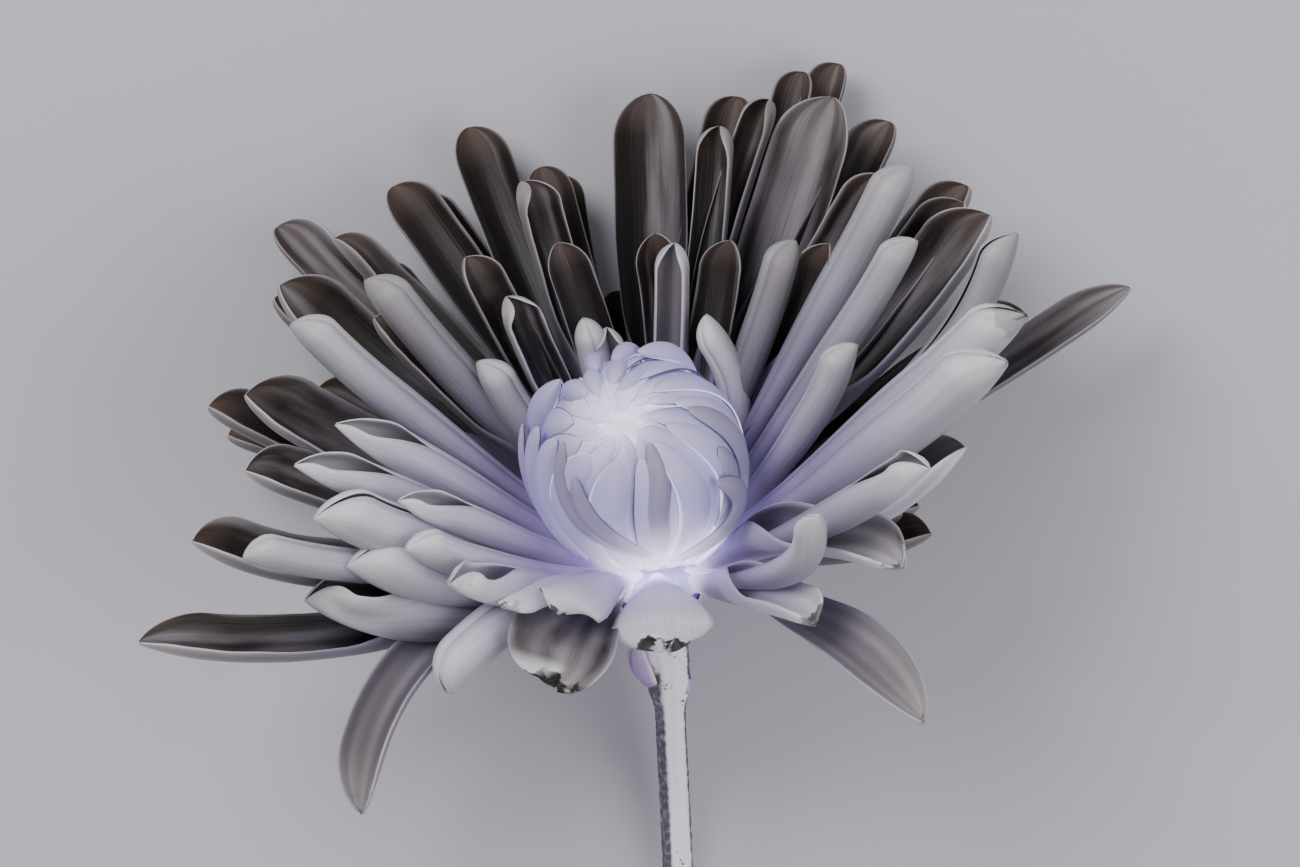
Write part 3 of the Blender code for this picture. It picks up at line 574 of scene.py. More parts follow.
def tip_height(x, y, rise):
    """Height at which a tip over (x, y) stands at this angle above the bloom's plane."""
    sine = math.sin(math.radians(rise))

    def excess(z):
        return x * AXIS.x + y * AXIS.y + z * AXIS.z - sine * math.sqrt(x * x + y * y + z * z)

    low = LOWEST_TIP
    while excess(low + 1.0) < 0.0:
        low += 1.0
    high = low + 1.0
    for _ in range(20):
        middle = (low + high) / 2.0
        if excess(middle) < 0.0:
            low = middle
        else:
            high = middle
    return low


def placed_florets(rows):
    """Tip and form of each floret in a table, with the height it keeps over the table top."""
    made = []
    for row in rows:
        height = row.z if row.z is not None else tip_height(row.x, row.y, row.rise)
        made.append((Vector((row.x, row.y, height)), row, PLACED_CLEAR))
    return made


print(len(hidden_florets()), "florets in the whorls below")

# %% [markdown]
# ## The keel of an open floret
# A keel is one smooth curve with four control points: the root on the crown, two that bow it, and
# the tip. It is kept clear of the ball in the middle, of the cup below and of the table, all by the
# same rules as the solids, so the fine florets lie where the plain ones do.

# %% Keel and width
ROOT_RADIUS = 7.2
HANGING_ROOT = 4.6       # root radius of a floret that bends back over the rim and hangs
QUILL_RADIUS = 0.95
LENS_END = 150.0         # degrees to which an open tube closes again at its very tip
GAP = 0.3
KEEL_POINTS = 44
CROWDING = 1.5           # how much closer they lie towards the tip, where 1 is even
SOFTNESS = 3.0           # mm over which a keel eases on to the table
UNDERSIDE = -2.7         # along the axis: the florets stay above the cup from here
CUP_REACH = (9.6, 16.8)  # the underside slopes down between these distances from the axis
TABLE_TOP = 0.05


def push_out_of_ball(point, margin):
    """Move a point off the central ball, if it lies within the margin of it."""
    offset = point - BALL
    along = offset.dot(AXIS)
    across = (offset - AXIS * along).length
    size = math.hypot(along / (BALL_LENGTH + margin), across / (BALL_RADIUS + margin))
    if size >= 1.0 or size < 0.001:
        return point
    return BALL + offset / size


def rest_on_table(height, floor):
    """Ease a height down to the floor instead of through it."""
    return floor + SOFTNESS * math.log1p(math.exp((height - floor) / SOFTNESS))


def bezier(points, share):
    """Point and direction at a share of the way along four control points."""
    a, b, c, d = points
    rest = 1.0 - share
    near = a * rest**3 + b * (3.0 * rest**2 * share)
    place = near + c * (3.0 * rest * share**2) + d * share**3
    slope = (b - a) * rest**2 + (c - b) * (2.0 * rest * share) + (d - c) * share**2
    return place, slope.normalized()


def keel_controls(tip, form):
    """Control points of a floret's keel and its sideways direction."""
    out = (tip - AXIS * tip.dot(AXIS)).normalized()
    side = AXIS.cross(out)
    rise = math.degrees(math.asin(tip.normalized().dot(AXIS)))
    root = CROWN + out * ROOT_RADIUS + AXIS * blend(-1.5, -0.3, smooth(rise, -10.0, 45.0))
    if form.gape < 0.0:
        root = CROWN + out * HANGING_ROOT + AXIS
    end = CROWN + tip
    length = (end - root).length
    ahead = (end - root) / length
    inner = ahead.cross(side).normalized()
    left = Vector((-ahead.y, ahead.x, 0.0)).normalized()
    first = root + ahead * (length * form.arc * 0.5) + inner * form.near + left * form.sway
    second = root + ahead * (length * form.arc) + inner * form.far + left * form.sway
    return (root, first, second, end), side


def half_width(share, form, shoulder):
    """Half of a floret's width at a share of its length, with a round or a pointed tip."""
    half = blend(QUILL_RADIUS, form.across / 2.0, smooth(share, 0.0, form.widest))
    if share > shoulder:
        round_off = ((share - shoulder) / (1.0 - shoulder)) ** blend(2.2, 1.2, form.point)
        half *= max(0.05, (1.0 - round_off) ** blend(0.5, 0.9, form.point))
    return half


def floret_curl(share, form):
    """Degrees from the keel to each margin: rolled at the root, open from the mouth on."""
    if form.gape < 0.0:
        return form.gape
    curl = blend(ROLLED, form.gape, smooth(share, form.mouth - 0.2, form.mouth + 0.12))
    if 95.0 < form.gape < LENS_END:
        curl = blend(curl, LENS_END, smooth(share, 0.9, 1.0))
    return curl


def floret_petal(tip, form, clear, chance):
    """The points of one floret's keel, which lie closer together towards its tip."""
    controls, side = keel_controls(tip, form)
    shoulder = 1.0 - min(0.45, blend(0.75, 2.2, form.point) * form.across / tip.length)
    looks = {"chance": chance, "torn": form.torn, "face": form.face, "back": form.back}
    petal = []
    for index in range(KEEL_POINTS):
        share = 1.0 - (1.0 - index / (KEEL_POINTS - 1)) ** CROWDING
        place, ahead = bezier(controls, share)
        inner = ahead.cross(side).normalized()
        across = inner.cross(ahead)
        twist = Quaternion(ahead, math.radians(form.roll * share))
        inner.rotate(twist)
        across.rotate(twist)
        curl = floret_curl(share, form)
        turn = math.radians(curl)
        half = half_width(share, form, shoulder)
        bow = half / math.sin(min(turn, math.pi / 2.0))
        place = push_out_of_ball(place, max(0.5, bow * (1.0 - math.cos(turn))) + GAP)
        place.z = rest_on_table(place.z, clear)
        petal.append(keel_point(place, across, inner, ahead, share, half, curl, **looks))
    return petal


def settle(piece):
    """Keep a piece's points out of the ball, the involucre and the table."""
    rim, end = CUP_REACH
    for vert in piece.data.vertices:
        point = push_out_of_ball(vert.co / MM, GAP * 2.0)
        offset = point - CROWN
        along = offset.dot(AXIS)
        radius = (offset - AXIS * along).length
        lowest = UNDERSIDE - 2.0 * max(0.0, radius - rim)
        if along < lowest and radius < end:
            point = point + AXIS * (lowest - along)
        point.z = max(point.z, TABLE_TOP)
        vert.co = point * MM


# %% [markdown]
# ## What the finishes share
# Petals are coloured by where a point lies on its petal, not by where it lies in space, so the
# finish reads the numbers that the petal tree left on every point. Colours are written as screen
# values and turned into the linear ones that a shader takes. Two effects are needed by more than
# one material and are made once, as groups: the fine veins that run along a petal, and a painted
# glow round a point of the bloom, which fades with distance.

# %% Colour helpers
def tint(red, green, blue):
    """A linear colour from screen values of 0 to 255."""
    linear = [(part / 255.0) ** 2.2 for part in (red, green, blue)]
    return (*linear, 1.0)


def new_material(name, roughness, sheen=0.0):
    material = bpy.data.materials.new(name)
    material.use_nodes = True
    tree = material.node_tree
    shader = tree.nodes["Principled BSDF"]
    shader.inputs["Roughness"].default_value = roughness
    shader.inputs["Sheen Weight"].default_value = sheen
    return material, Maker(tree), shader


def attributes(make, names):
    """The numbers that the points keep under these names."""
    return [make.value("ShaderNodeAttribute", attribute_name=name, output="Fac") for name in names.split()]


def ramp(make, value, *stops):
    """A colour ramp. Each stop is its place, then red, green and blue from 0 to 255."""
    node = make.add("ShaderNodeValToRGB", value)
    elements = node.color_ramp.elements
    elements.remove(elements[-1])
    for index, (place, *colour) in enumerate(stops):
        stop = elements.new(place) if index else elements[0]
        stop.position = place
        stop.color = tint(*colour)
    return Value(make, node.outputs["Color"])


def mix(make, share, first, second, blend_type="MIX"):
    """A share of the second colour over the first. They are inputs 6 and 7 of a Mix node."""
    inputs = {"Factor": share, 6: first, 7: second}
    kind = {"data_type": "RGBA", "blend_type": blend_type}
    return make.value("ShaderNodeMix", output=2, inputs=inputs, **kind)


def shaded(make, colour, tone):
    """A colour made darker or lighter by a number."""
    return mix(make, 1.0, colour, make.combine(tone, tone, tone), "MULTIPLY")


def add_bump(make, shader, height, strength, distance):
    inputs = {"Strength": strength, "Distance": distance, "Height": height}
    make.feed(shader.inputs["Normal"], make.value("ShaderNodeBump", inputs=inputs))


# Painted light: the surface gives off this colour as a glow, though it is no lamp.
def add_painted_glow(make, shader, colour, strength):
    make.feed(shader.inputs["Emission Color"], colour)
    shader.inputs["Emission Strength"].default_value = strength


print("screen grey 128 is", round(tint(128, 128, 128)[0], 3), "in the linear scale")

# %% Shared groups
def shader_group(name, inputs, output):
    """A shader group with named inputs and one number for its output."""
    tree = bpy.data.node_groups.new(name, "ShaderNodeTree")
    for label, value in inputs.items():
        kind = "NodeSocketVector" if isinstance(value, tuple) else "NodeSocketFloat"
        tree.interface.new_socket(label, in_out="INPUT", socket_type=kind).default_value = value
    tree.interface.new_socket(output, in_out="OUTPUT", socket_type="NodeSocketFloat")
    make = Maker(tree)
    return tree, make, make.given()


def vein_group():
    inputs = {"Side": 0.0, "Along": 0.0, "Chance": 0.0, "Fineness": 24.0}
    tree, make, given = shader_group("veins", inputs, "Vein")
    place = make.combine(given["Side"] * given["Fineness"], given["Along"] * 3.0, given["Chance"] * 70.0)
    make.add("NodeGroupOutput", make.noise(place))
    return tree


# Painted light: a glow that fades with distance from a centre, as if light came from there.
def painted_glow_group():
    inputs = {"Centre": (0.0, 0.0, 0.0), "Bright": 0.005, "Faint": 0.02}
    tree, make, given = shader_group("glow", inputs, "Glow")
    place = make.object_place()
    ends = {"operation": "DISTANCE", "output": "Value"}
    distance = make.value("ShaderNodeVectorMath", place, given["Centre"], **ends)
    ragged = distance + (make.noise(place, 160.0) - 0.5) * 0.004
    make.add("NodeGroupOutput", 1.0 - make.fade(ragged, given["Bright"], given["Faint"]))
    return tree


def grouped(make, tree, **values):
    return make.value("ShaderNodeGroup", node_tree=tree, inputs=values)


VEINS = vein_group()
PAINTED_GLOW = painted_glow_group()
# Centres of the painted glow: the foot of the florets, the foot of the ball and its eye.
PAINTED_GLOW_FOOT = tuple((CROWN + AXIS * 2.0 + FRONT * 7.0) * MM)
PAINTED_GLOW_BALL = tuple((CROWN + Vector((1.2, -0.6, 15.0))) * MM)
PAINTED_GLOW_EYE = tuple((BALL + Vector((-5.6, 9.0, 13.6))) * MM)
PAINTED_FLARE = (2.2, 2.1, 2.4, 1.0)     # painted flare, linear, brighter than any lit surface
PAINTED_FLARE_FALLOFF = 1.6                 # how fast the painted flare falls off
PAINTED_GLOW_STRENGTH = 0.8                      # strength of the painted light that the petals give off
print("groups:", VEINS.name, PAINTED_GLOW.name)

# %% [markdown]
# ## Finish of the open florets
# Near the crown the florets are pale lilac and almost seem to glow, which is painted light given
# off round the foot of the bloom. Outward they turn to a cool grey and end in a thin white rim, a
# painted highlight. The inner face of the far florets is nearly black, with a brown cast and paler
# margins; how pale each face is mixes the floret's own tone with painted light and shade by where
# it lies. Fine veins run along every floret, the rolled ones are darker at their sides with painted
# shade, and a torn tip has a white lip, a painted highlight where it curls, with dark, speckled edges.

# %% Open floret material
SHUT = (2.2, 2.9)        # radians of curl between which an open floret counts as rolled


def petal_material(name):
    material, make, shader = new_material(name, 0.5, 0.1)
    along, side, chance, torn = attributes(make, "along side chance torn")
    skin, curl, back, face = attributes(make, "skin curl back face")
    width = abs(side)
    open_here = 1.0 - make.fade(curl, *SHUT)
    inside = make.math("GREATER_THAN", skin, 0.0)
    # How pale each face is: partly the floret's own tone, partly painted light and shade by where it lies.
    tone = make.value("ShaderNodeMix", data_type="FLOAT", inputs={"Factor": inside, 2: back, 3: face})
    broad = make.noise(make.combine(side * 1.6, along * 2.4, chance * 40.0), detail=3.0)
    vein = grouped(make, VEINS, Side=side, Along=along, Chance=chance)
    blotchy = inside * (1.0 - make.fade(tone, 0.27, 0.4))
    # Painted highlight: a thin white rim along the margins of the open florets.
    rim = make.fade(width, 0.93, 1.0) * make.fade(along, 0.35, 0.8) * open_here
    ridge = make.math("COSINE", side * (4.0 * math.pi)) * open_here
    tone = tone + (broad - 0.5) * (0.25 + blotchy * 0.75) + rim * 0.16 + ridge * 0.05

    # Each ramp is lightest at the root: partly the floret's own lilac, partly painted light near the
    # crown.
    pale = ramp(
        make, along, (0.0, 222, 214, 250), (0.12, 176, 162, 218), (0.34, 146, 135, 174),
        (0.62, 184, 178, 203), (0.9, 212, 210, 220), (1.0, 232, 231, 236),
    )
    grey = ramp(
        make, along, (0.0, 160, 148, 206), (0.2, 100, 90, 130), (0.5, 98, 91, 108),
        (0.85, 122, 115, 120), (1.0, 150, 144, 148),
    )
    dark = ramp(
        make, along, (0.0, 70, 58, 118), (0.25, 14, 9, 22), (0.6, 12, 7, 7), (0.9, 34, 20, 16),
        (1.0, 88, 72, 66),
    )
    colour = mix(make, make.fade(tone, 0.1, 0.46), dark, grey)
    colour = mix(make, make.fade(tone, 0.4, 0.85), colour, pale)
    colour = shaded(make, colour, 0.84 + vein * 0.32)
    # Painted shade across the rolled part of each floret, so the tubes look round and apart.
    painted_tube_shade = (1.0 - make.fade(width, 0.45, 0.85)) * (1.0 - open_here)
    colour = shaded(make, colour, 1.0 - painted_tube_shade * 0.4)

    # Painted highlight: a white lip where a torn tip would curl up.
    painted_lip_highlight = make.fade(torn, 0.2, 0.6) * make.fade(along, 0.84, 0.94) * (1.0 - make.fade(side, -0.1, 0.25))
    colour = mix(make, painted_lip_highlight * 0.85, colour, tint(228, 227, 232))
    speck = make.noise(make.object_place(), 300.0, 6.0) + make.fade(along, 0.9, 1.0) * 0.2
    burnt = make.fade(torn, 0.1, 0.6) * make.fade(along, 0.88, 0.98) * make.fade(speck, 0.64, 0.7)
    colour = mix(make, burnt, colour, tint(22, 16, 12))
    make.feed(shader.inputs["Base Color"], colour)

    # Painted light: a glow round the foot of the florets, with a flare at its middle.
    painted_foot_glow = grouped(make, PAINTED_GLOW, Centre=PAINTED_GLOW_FOOT, Bright=0.004, Faint=0.03)
    painted_foot_glow = painted_foot_glow * (1.0 - make.fade(torn, 0.25, 0.45))
    painted_foot_flare = grouped(make, PAINTED_GLOW, Centre=PAINTED_GLOW_FOOT, Bright=0.001, Faint=0.013)
    light = mix(make, painted_foot_glow, tint(0, 0, 0), tint(124, 112, 146))
    add_painted_glow(make, shader, mix(make, painted_foot_flare ** PAINTED_FLARE_FALLOFF, light, PAINTED_FLARE), PAINTED_GLOW_STRENGTH)
    add_bump(make, shader, vein, 0.25, 0.0004)
    return material


PETAL_MATERIAL = petal_material("open_floret")
print("finish of the open florets:", len(PETAL_MATERIAL.node_tree.nodes), "nodes")

# %% Grow the open florets
FLORET_GROUPS = (
    ("florets_left", placed_florets(LEFT_FLORETS)),
    ("florets_front", placed_florets(FRONT_FLORETS)),
    ("florets_back", placed_florets(BACK_FLORETS)),
    ("florets_right", placed_florets(RIGHT_FLORETS)),
    ("florets_below", hidden_florets()),
)
draw = Random(11)
for name, florets in FLORET_GROUPS:
    petals = [floret_petal(*floret, draw.random()) for floret in florets]
    piece = grow(name, petals, PETAL_TREE, PETAL_MATERIAL)
    settle(piece)
    finish_piece(piece, "ray_florets")

# %% [markdown]
# ## The receptacle
# Under the florets is a small button of tissue that they all grow from. It hardly shows, so a
# turned shape is enough: rings of points round the axis, closed at both ends.

# %% Receptacle
RECEPTACLE_RINGS = (     # height along the axis and radius
    (-3.0, 6.6), (-1.8, 8.8), (0.2, 10.6), (1.6, 10.8), (2.2, 10.0), (1.6, 7.2), (1.0, 5.6),
)
RECEPTACLE_SIDES = 64


def ring_points(level, radius, sides):
    return [CROWN + AXIS * level + outward(360.0 * index / sides) * radius for index in range(sides)]


def turned_piece(name, rings, material):
    """A closed mesh over rings of points, as an object with its material."""
    sides = len(rings[0])
    points = [point * MM for ring in rings for point in ring]
    faces = []
    for row in range(len(rings) - 1):
        for index in range(sides):
            after = (index + 1) % sides
            low = row * sides
            high = low + sides
            faces.append((low + index, low + after, high + after, high + index))
    faces.append(tuple(reversed(range(sides))))
    faces.append(tuple(range((len(rings) - 1) * sides, len(rings) * sides)))
    mesh = bpy.data.meshes.new(name)
    mesh.from_pydata(points, [], faces)
    mesh.shade_smooth()
    mesh.materials.append(material)
    return put(name, mesh)


def painted_glow_material(name, colour, strength):
    """Mottled tissue that gives off a little of its own colour as a painted glow."""
    material, make, shader = new_material(name, 0.6)
    mottle = make.noise(make.object_place(), 400.0, 3.0)
    field = ramp(make, mottle, (0.3, *(part * 0.85 for part in colour)), (0.7, *colour))
    make.feed(shader.inputs["Base Color"], field)
    add_painted_glow(make, shader, field, strength)
    return material


button_rings = [ring_points(level, radius, RECEPTACLE_SIDES) for level, radius in RECEPTACLE_RINGS]
# Its finish gives off a painted glow.
button = turned_piece("receptacle", button_rings, painted_glow_material("receptacle", (214, 208, 250), 0.5))
finish_piece(button, "ray_florets")

# %% [markdown]
# ## The ball of young florets
# In the middle the florets are still curved over each other like shingles and leave a small eye.
# Each is a short keel that climbs the ball, with its back outwards, so the same petal tree makes
# them. Each leans a little, so that one margin lies over its neighbour and the other goes under.
# A few that have begun to lift stand proud of the rest: grey ones in front, broad ones at the left
# and small hooked ones at the back. The rows are even, and the lifted ones are placed one by one.

# %% Keels over the ball
ARC_CROWDING = 1.3       # as CROWDING, for the keels on the ball


def on_ball(azimuth, latitude, size):
    """Point over the central ball. Latitude 90 is the eye and -90 the foot, both drawn forward."""
    turn = math.radians(latitude)
    across = BALL_RADIUS * size * math.cos(turn)
    offset = outward(azimuth) * across + AXIS * (BALL_LENGTH * size * math.sin(turn))
    upper = smooth(latitude, -90.0, 90.0)
    offset.rotate(Quaternion(RIGHT, math.radians(blend(FOOT_NOD, EYE_NOD, upper))))
    offset.rotate(Quaternion(FRONT, math.radians(EYE_LEAN * smooth(latitude, 0.0, 90.0))))
    return BALL + offset


def on_sphere(azimuth, latitude):
    """The same place on a plain sphere, where the shortest way between two is easily found."""
    turn = math.radians(azimuth)
    rise = math.radians(latitude)
    return Vector((math.sin(turn) * math.cos(rise), math.cos(turn) * math.cos(rise), math.sin(rise)))


def direction_at(points, index):
    """Direction from the point before to the point after."""
    return (points[min(len(points) - 1, index + 1)] - points[max(0, index - 1)]).normalized()


def leaf_half(share, width, widest, blunt):
    """Half width of a lance shape, by where it is broadest and how blunt its tip is."""
    if share < widest:
        part = blend(0.4, 1.0, math.sin(math.pi / 2.0 * share / widest))
    else:
        part = (1.0 - ((share - widest) / (1.0 - widest)) ** 2.0) ** blunt
    return max(0.05, width / 2.0 * part)


def arc_petal(
    foot, tip, width, size=1.0, lift=0.0, flare=0.0, bend=0.0, curl=24.0, tilt=7.0,
    widest=0.5, blunt=0.8, back=0.8, chance=0.5, face=0.0, steps=30,
):
    """A petal from one (azimuth, latitude) of the ball to another, with its back outwards.

    lift raises its middle off the ball, flare its tip, bend bows it sideways and tilt leans it.
    """
    start = on_sphere(*foot)
    turn = start.rotation_difference(on_sphere(*tip))
    shares = [1.0 - (1.0 - step / (steps - 1)) ** ARC_CROWDING for step in range(steps)]
    points = []
    for share in shares:
        spot = start.copy()
        spot.rotate(Quaternion().slerp(turn, share))
        azimuth = math.degrees(math.atan2(spot.x, spot.y)) + bend * math.sin(math.pi * share)
        latitude = math.degrees(math.asin(max(-1.0, min(1.0, spot.z))))
        raised = lift * math.sin(math.pi * min(1.0, share * 0.85)) + flare * share**2
        points.append(on_ball(azimuth, latitude, size + raised))
    petal = []
    for index, point in enumerate(points):
        ahead = direction_at(points, index)
        inward = (BALL - point).normalized()
        inward = (inward - ahead * inward.dot(ahead)).normalized()
        inward.rotate(Quaternion(ahead, math.radians(tilt)))
        half = leaf_half(shares[index], width, widest, blunt)
        looks = {"chance": chance, "face": face, "back": back}
        petal.append(keel_point(
            point, inward.cross(ahead), inward, ahead, index / (steps - 1), half, curl, **looks
        ))
    return petal


# %% Rows, and the florets that have lifted
# The last column, eye, sets how much painted glow the row takes from the eye.
CENTRE_ROWS = (          # count, lowest and highest latitude, width, size, first azimuth, tilt, eye
    (13, -66, 64, 7.6, 1.0, 4.0, 7.0, 0.0),
    (13, -50, 74, 6.6, 0.975, 18.0, 7.0, 0.7),
    (9, 10, 82, 4.6, 0.962, 0.0, 5.0, 1.0),
)
LIFTED_FORMS = {
    "grey": {"curl": 38.0, "tilt": 2.0, "back": 0.3, "blunt": 0.6, "chance": 0.9},
    "side": {"curl": 30.0, "tilt": 14.0, "back": 0.7, "blunt": 0.6, "chance": 0.9},
    "hook": {"curl": 115.0, "tilt": 0.0, "back": 0.6, "blunt": 0.5, "chance": 0.3, "widest": 0.6},
}
LIFTED = (               # form, foot, tip, width, size, lift, flare, bend
    ("grey", (-6, -46), (-78, 50), 3.8, 1.02, 0.01, 0.0, -8.0),
    ("grey", (-2, -44), (-48, 36), 3.4, 1.045, 0.01, 0.0, -6.0),
    ("grey", (6, -40), (30, 66), 4.4, 1.02, 0.0, 0.0, -9.0),
    ("grey", (46, -30), (58, 30), 5.0, 1.02, 0.02, 0.0, 3.0),
    ("grey", (66, -26), (82, 54), 5.4, 1.015, 0.03, 0.0, 3.0),
    ("grey", (20, -50), (40, 16), 4.6, 1.07, 0.06, 0.0, 22.0),
    ("side", (-98, -40), (-104, 22), 7.0, 1.03, 0.12, 0.12, 0.0),
    ("side", (-78, -42), (-94, 36), 6.6, 1.02, 0.07, 0.06, 0.0),
    ("side", (-62, -45), (-82, 46), 5.8, 1.015, 0.03, 0.01, 0.0),
    ("hook", (-102, 4), (-134, 38), 5.6, 0.99, 0.22, 0.02, 0.0),
    ("hook", (-128, 34), (-140, 64), 3.4, 0.97, 0.13, 0.0, 0.0),
    ("hook", (-156, 46), (-150, 70), 2.6, 0.96, 0.15, 0.0, 0.0),
    ("hook", (-160, 28), (-160, 56), 2.8, 0.96, 0.18, 0.02, 0.0),
    ("hook", (178, 46), (182, 68), 2.8, 0.97, 0.11, 0.0, 0.0),
    ("hook", (170, 28), (182, 54), 2.8, 0.96, 0.18, 0.02, 0.0),
    ("hook", (134, 24), (166, 46), 3.4, 0.97, 0.18, 0.02, 0.0),
    ("hook", (150, 52), (170, 72), 2.6, 0.97, 0.06, 0.0, 0.0),
)


def centre_petals():
    draw = Random(7)
    petals = []
    for count, low, high, width, size, start, tilt, depth in CENTRE_ROWS:
        form = {"tilt": tilt, "widest": 0.55, "blunt": 0.65, "face": depth}
        for index in range(count):
            azimuth = start + 360.0 * index / count + draw.uniform(-JITTER, JITTER)
            foot = (azimuth - 5.0, low)
            tip = (azimuth + 7.0, high + draw.uniform(-5.0, 4.0))
            petals.append(arc_petal(foot, tip, width, size, chance=draw.random(), **form))
    return petals + [arc_petal(*values, **LIFTED_FORMS[form]) for form, *values in LIFTED]


# %% [markdown]
# ## Finish of the ball
# The young florets are paler and bluer than the open ones. A thin dark line follows the margins of
# some of them, a painted highlight drawn dark, and painted light seems to come from under those of
# the others. Each is a little darker towards the margin that goes under, which is painted shade.
# The eye and the foot of the ball are almost white with painted light.

# %% Centre material
def centre_material(name):
    material, make, shader = new_material(name, 0.45, 0.1)
    along, side, chance, back, face = attributes(make, "along side chance back face")
    width = abs(side)
    vein = grouped(make, VEINS, Side=side, Along=along, Chance=chance, Fineness=12.0)
    pale = ramp(
        make, along, (0.0, 228, 222, 255), (0.3, 190, 181, 238), (0.6, 188, 181, 230),
        (0.85, 198, 192, 234), (1.0, 216, 212, 238),
    )
    grey = ramp(
        make, along, (0.0, 220, 216, 250), (0.25, 148, 143, 174), (0.7, 148, 144, 168),
        (1.0, 166, 162, 184),
    )
    colour = mix(make, make.fade(back, 0.3, 0.75), grey, pale)
    # Blades with a painted dark line on their margins; the others get painted light there.
    painted_line_blades = make.fade(chance, 0.4, 0.45)
    # Painted highlight, drawn as a thin dark line along the margin.
    line = make.fade(width, 0.89, 0.95) * painted_line_blades
    colour = mix(make, line * 0.9, colour, tint(58, 54, 80))
    # Painted shade towards the margin that goes under the next blade.
    colour = shaded(make, colour, 1.0 - make.fade(side, -0.2, 1.0) * 0.26)
    colour = shaded(make, colour, 0.91 + vein * 0.18)
    make.feed(shader.inputs["Base Color"], colour)

    # Painted light: a glow round the foot of the ball with a flare, and another round the eye.
    foot = grouped(make, PAINTED_GLOW, Centre=PAINTED_GLOW_BALL, Bright=0.002, Faint=0.016)
    eye = grouped(make, PAINTED_GLOW, Centre=PAINTED_GLOW_EYE, Bright=0.002, Faint=0.011) * (face + 0.25)
    # Painted light along the margins of the other blades; every blade gives off a faint violet.
    painted_seam_glow = make.fade(width, 0.94 - (1.0 - along) * 0.2, 1.0) * (1.0 - painted_line_blades)
    light = mix(make, painted_seam_glow, tint(50, 44, 78), tint(244, 240, 255))
    light = mix(make, eye * 0.8, light, tint(236, 234, 250))
    add_painted_glow(make, shader, mix(make, foot ** PAINTED_FLARE_FALLOFF, light, PAINTED_FLARE), PAINTED_GLOW_STRENGTH)
    add_bump(make, shader, vein, 0.15, 0.0003)
    return material


BALL_SIZES = {"Ruffle": 0.0, "Ridge Height": 0.02, "Wall": 0.4}
HEART_SIZE = 0.93        # the closed heart under the florets, as a share of the ball
HEART_SIDES = 48
HEART_LATITUDES = (-84, -70, -50, -30, -10, 10, 30, 50, 65, 76, 84, 89)
CENTRE_MATERIAL = centre_material("centre_floret")
centre = grow("centre_florets_fine", centre_petals(), PETAL_TREE, CENTRE_MATERIAL, **BALL_SIZES)
finish_piece(centre, "centre_florets")

heart_rings = [
    [on_ball(360.0 * index / HEART_SIDES, latitude, HEART_SIZE) for index in range(HEART_SIDES)]
    for latitude in HEART_LATITUDES
]
# The heart gives off a painted glow that lights the gaps between the young florets.
heart = turned_piece("ball_heart", heart_rings, painted_glow_material("ball_heart", (236, 232, 255), 0.9))
finish_piece(heart, "centre_florets")

# %% [markdown]
# ## The involucre
# Behind the bloom the florets sit in a cup of small pointed bracts, in rows that overlap like roof
# tiles. The cup is a turned shape. Each bract is one more short keel for the petal tree, laid on
# the cup with its back outwards.

# %% Involucre
CUP_BOTTOM = -13.0
CUP_TOP = -3.3
CUP_NECK = 3.3
CUP_WIDE = 7.5
CUP_SIDES = 48
CUP_SHARES = (0.0, 0.08, 0.2, 0.35, 0.5, 0.65, 0.8, 0.92, 1.0)
BRACT_ROWS = (           # count, lowest and highest share of the cup, how far the tips stand off
    (8, 0.02, 0.5, 0.5),
    (11, 0.15, 0.75, 0.4),
    (13, 0.35, 0.98, 0.3),
)
BRACT_HALF = 2.3
BRACT_STEPS = 14


def cup_radius(share):
    return blend(CUP_NECK, CUP_WIDE, smooth(share, -0.1, 0.8))


def cup_bract(azimuth, low, high, lift, chance):
    """One pointed bract that lies against the cup."""
    out = outward(azimuth)
    shares = [step / (BRACT_STEPS - 1) for step in range(BRACT_STEPS)]
    points = []
    for share in shares:
        along = blend(low, high, share)
        away = cup_radius(along) + 0.25 + lift * share**2
        points.append(CROWN + AXIS * blend(CUP_BOTTOM, CUP_TOP, along) + out * away)
    petal = []
    for index, share in enumerate(shares):
        ahead = direction_at(points, index)
        across = AXIS.cross(out).normalized()
        inner = ahead.cross(across).normalized()
        if inner.dot(out) > 0.0:
            inner = -inner
            across = -across
        half = max(0.08, BRACT_HALF * math.sin(math.pi * blend(0.3, 1.0, share)))
        petal.append(keel_point(points[index], across, inner, ahead, share, half, 30.0, chance))
    return petal


def bract_material(name):
    material, make, shader = new_material(name, 0.6, 0.1)
    along, side = attributes(make, "along side")
    width = abs(side)
    mottle = make.noise(make.object_place(), 500.0, 4.0)
    colour = ramp(make, along, (0.0, 158, 136, 200), (0.6, 194, 164, 220), (1.0, 226, 218, 238))
    colour = mix(make, (1.0 - make.fade(width, 0.0, 0.22)) * 0.6, colour, tint(112, 92, 192))
    colour = mix(make, make.fade(width, 0.7, 1.0), colour, tint(232, 226, 242))
    make.feed(shader.inputs["Base Color"], shaded(make, colour, 0.8 + mottle * 0.4))
    add_bump(make, shader, mottle, 0.3, 0.0003)
    return material


BRACT_MATERIAL = bract_material("bract")
cup_rings = [
    ring_points(blend(CUP_BOTTOM, CUP_TOP, share), cup_radius(share) - 0.1, CUP_SIDES)
    for share in CUP_SHARES
]
finish_piece(turned_piece("involucre_cup", cup_rings, BRACT_MATERIAL), "involucre")

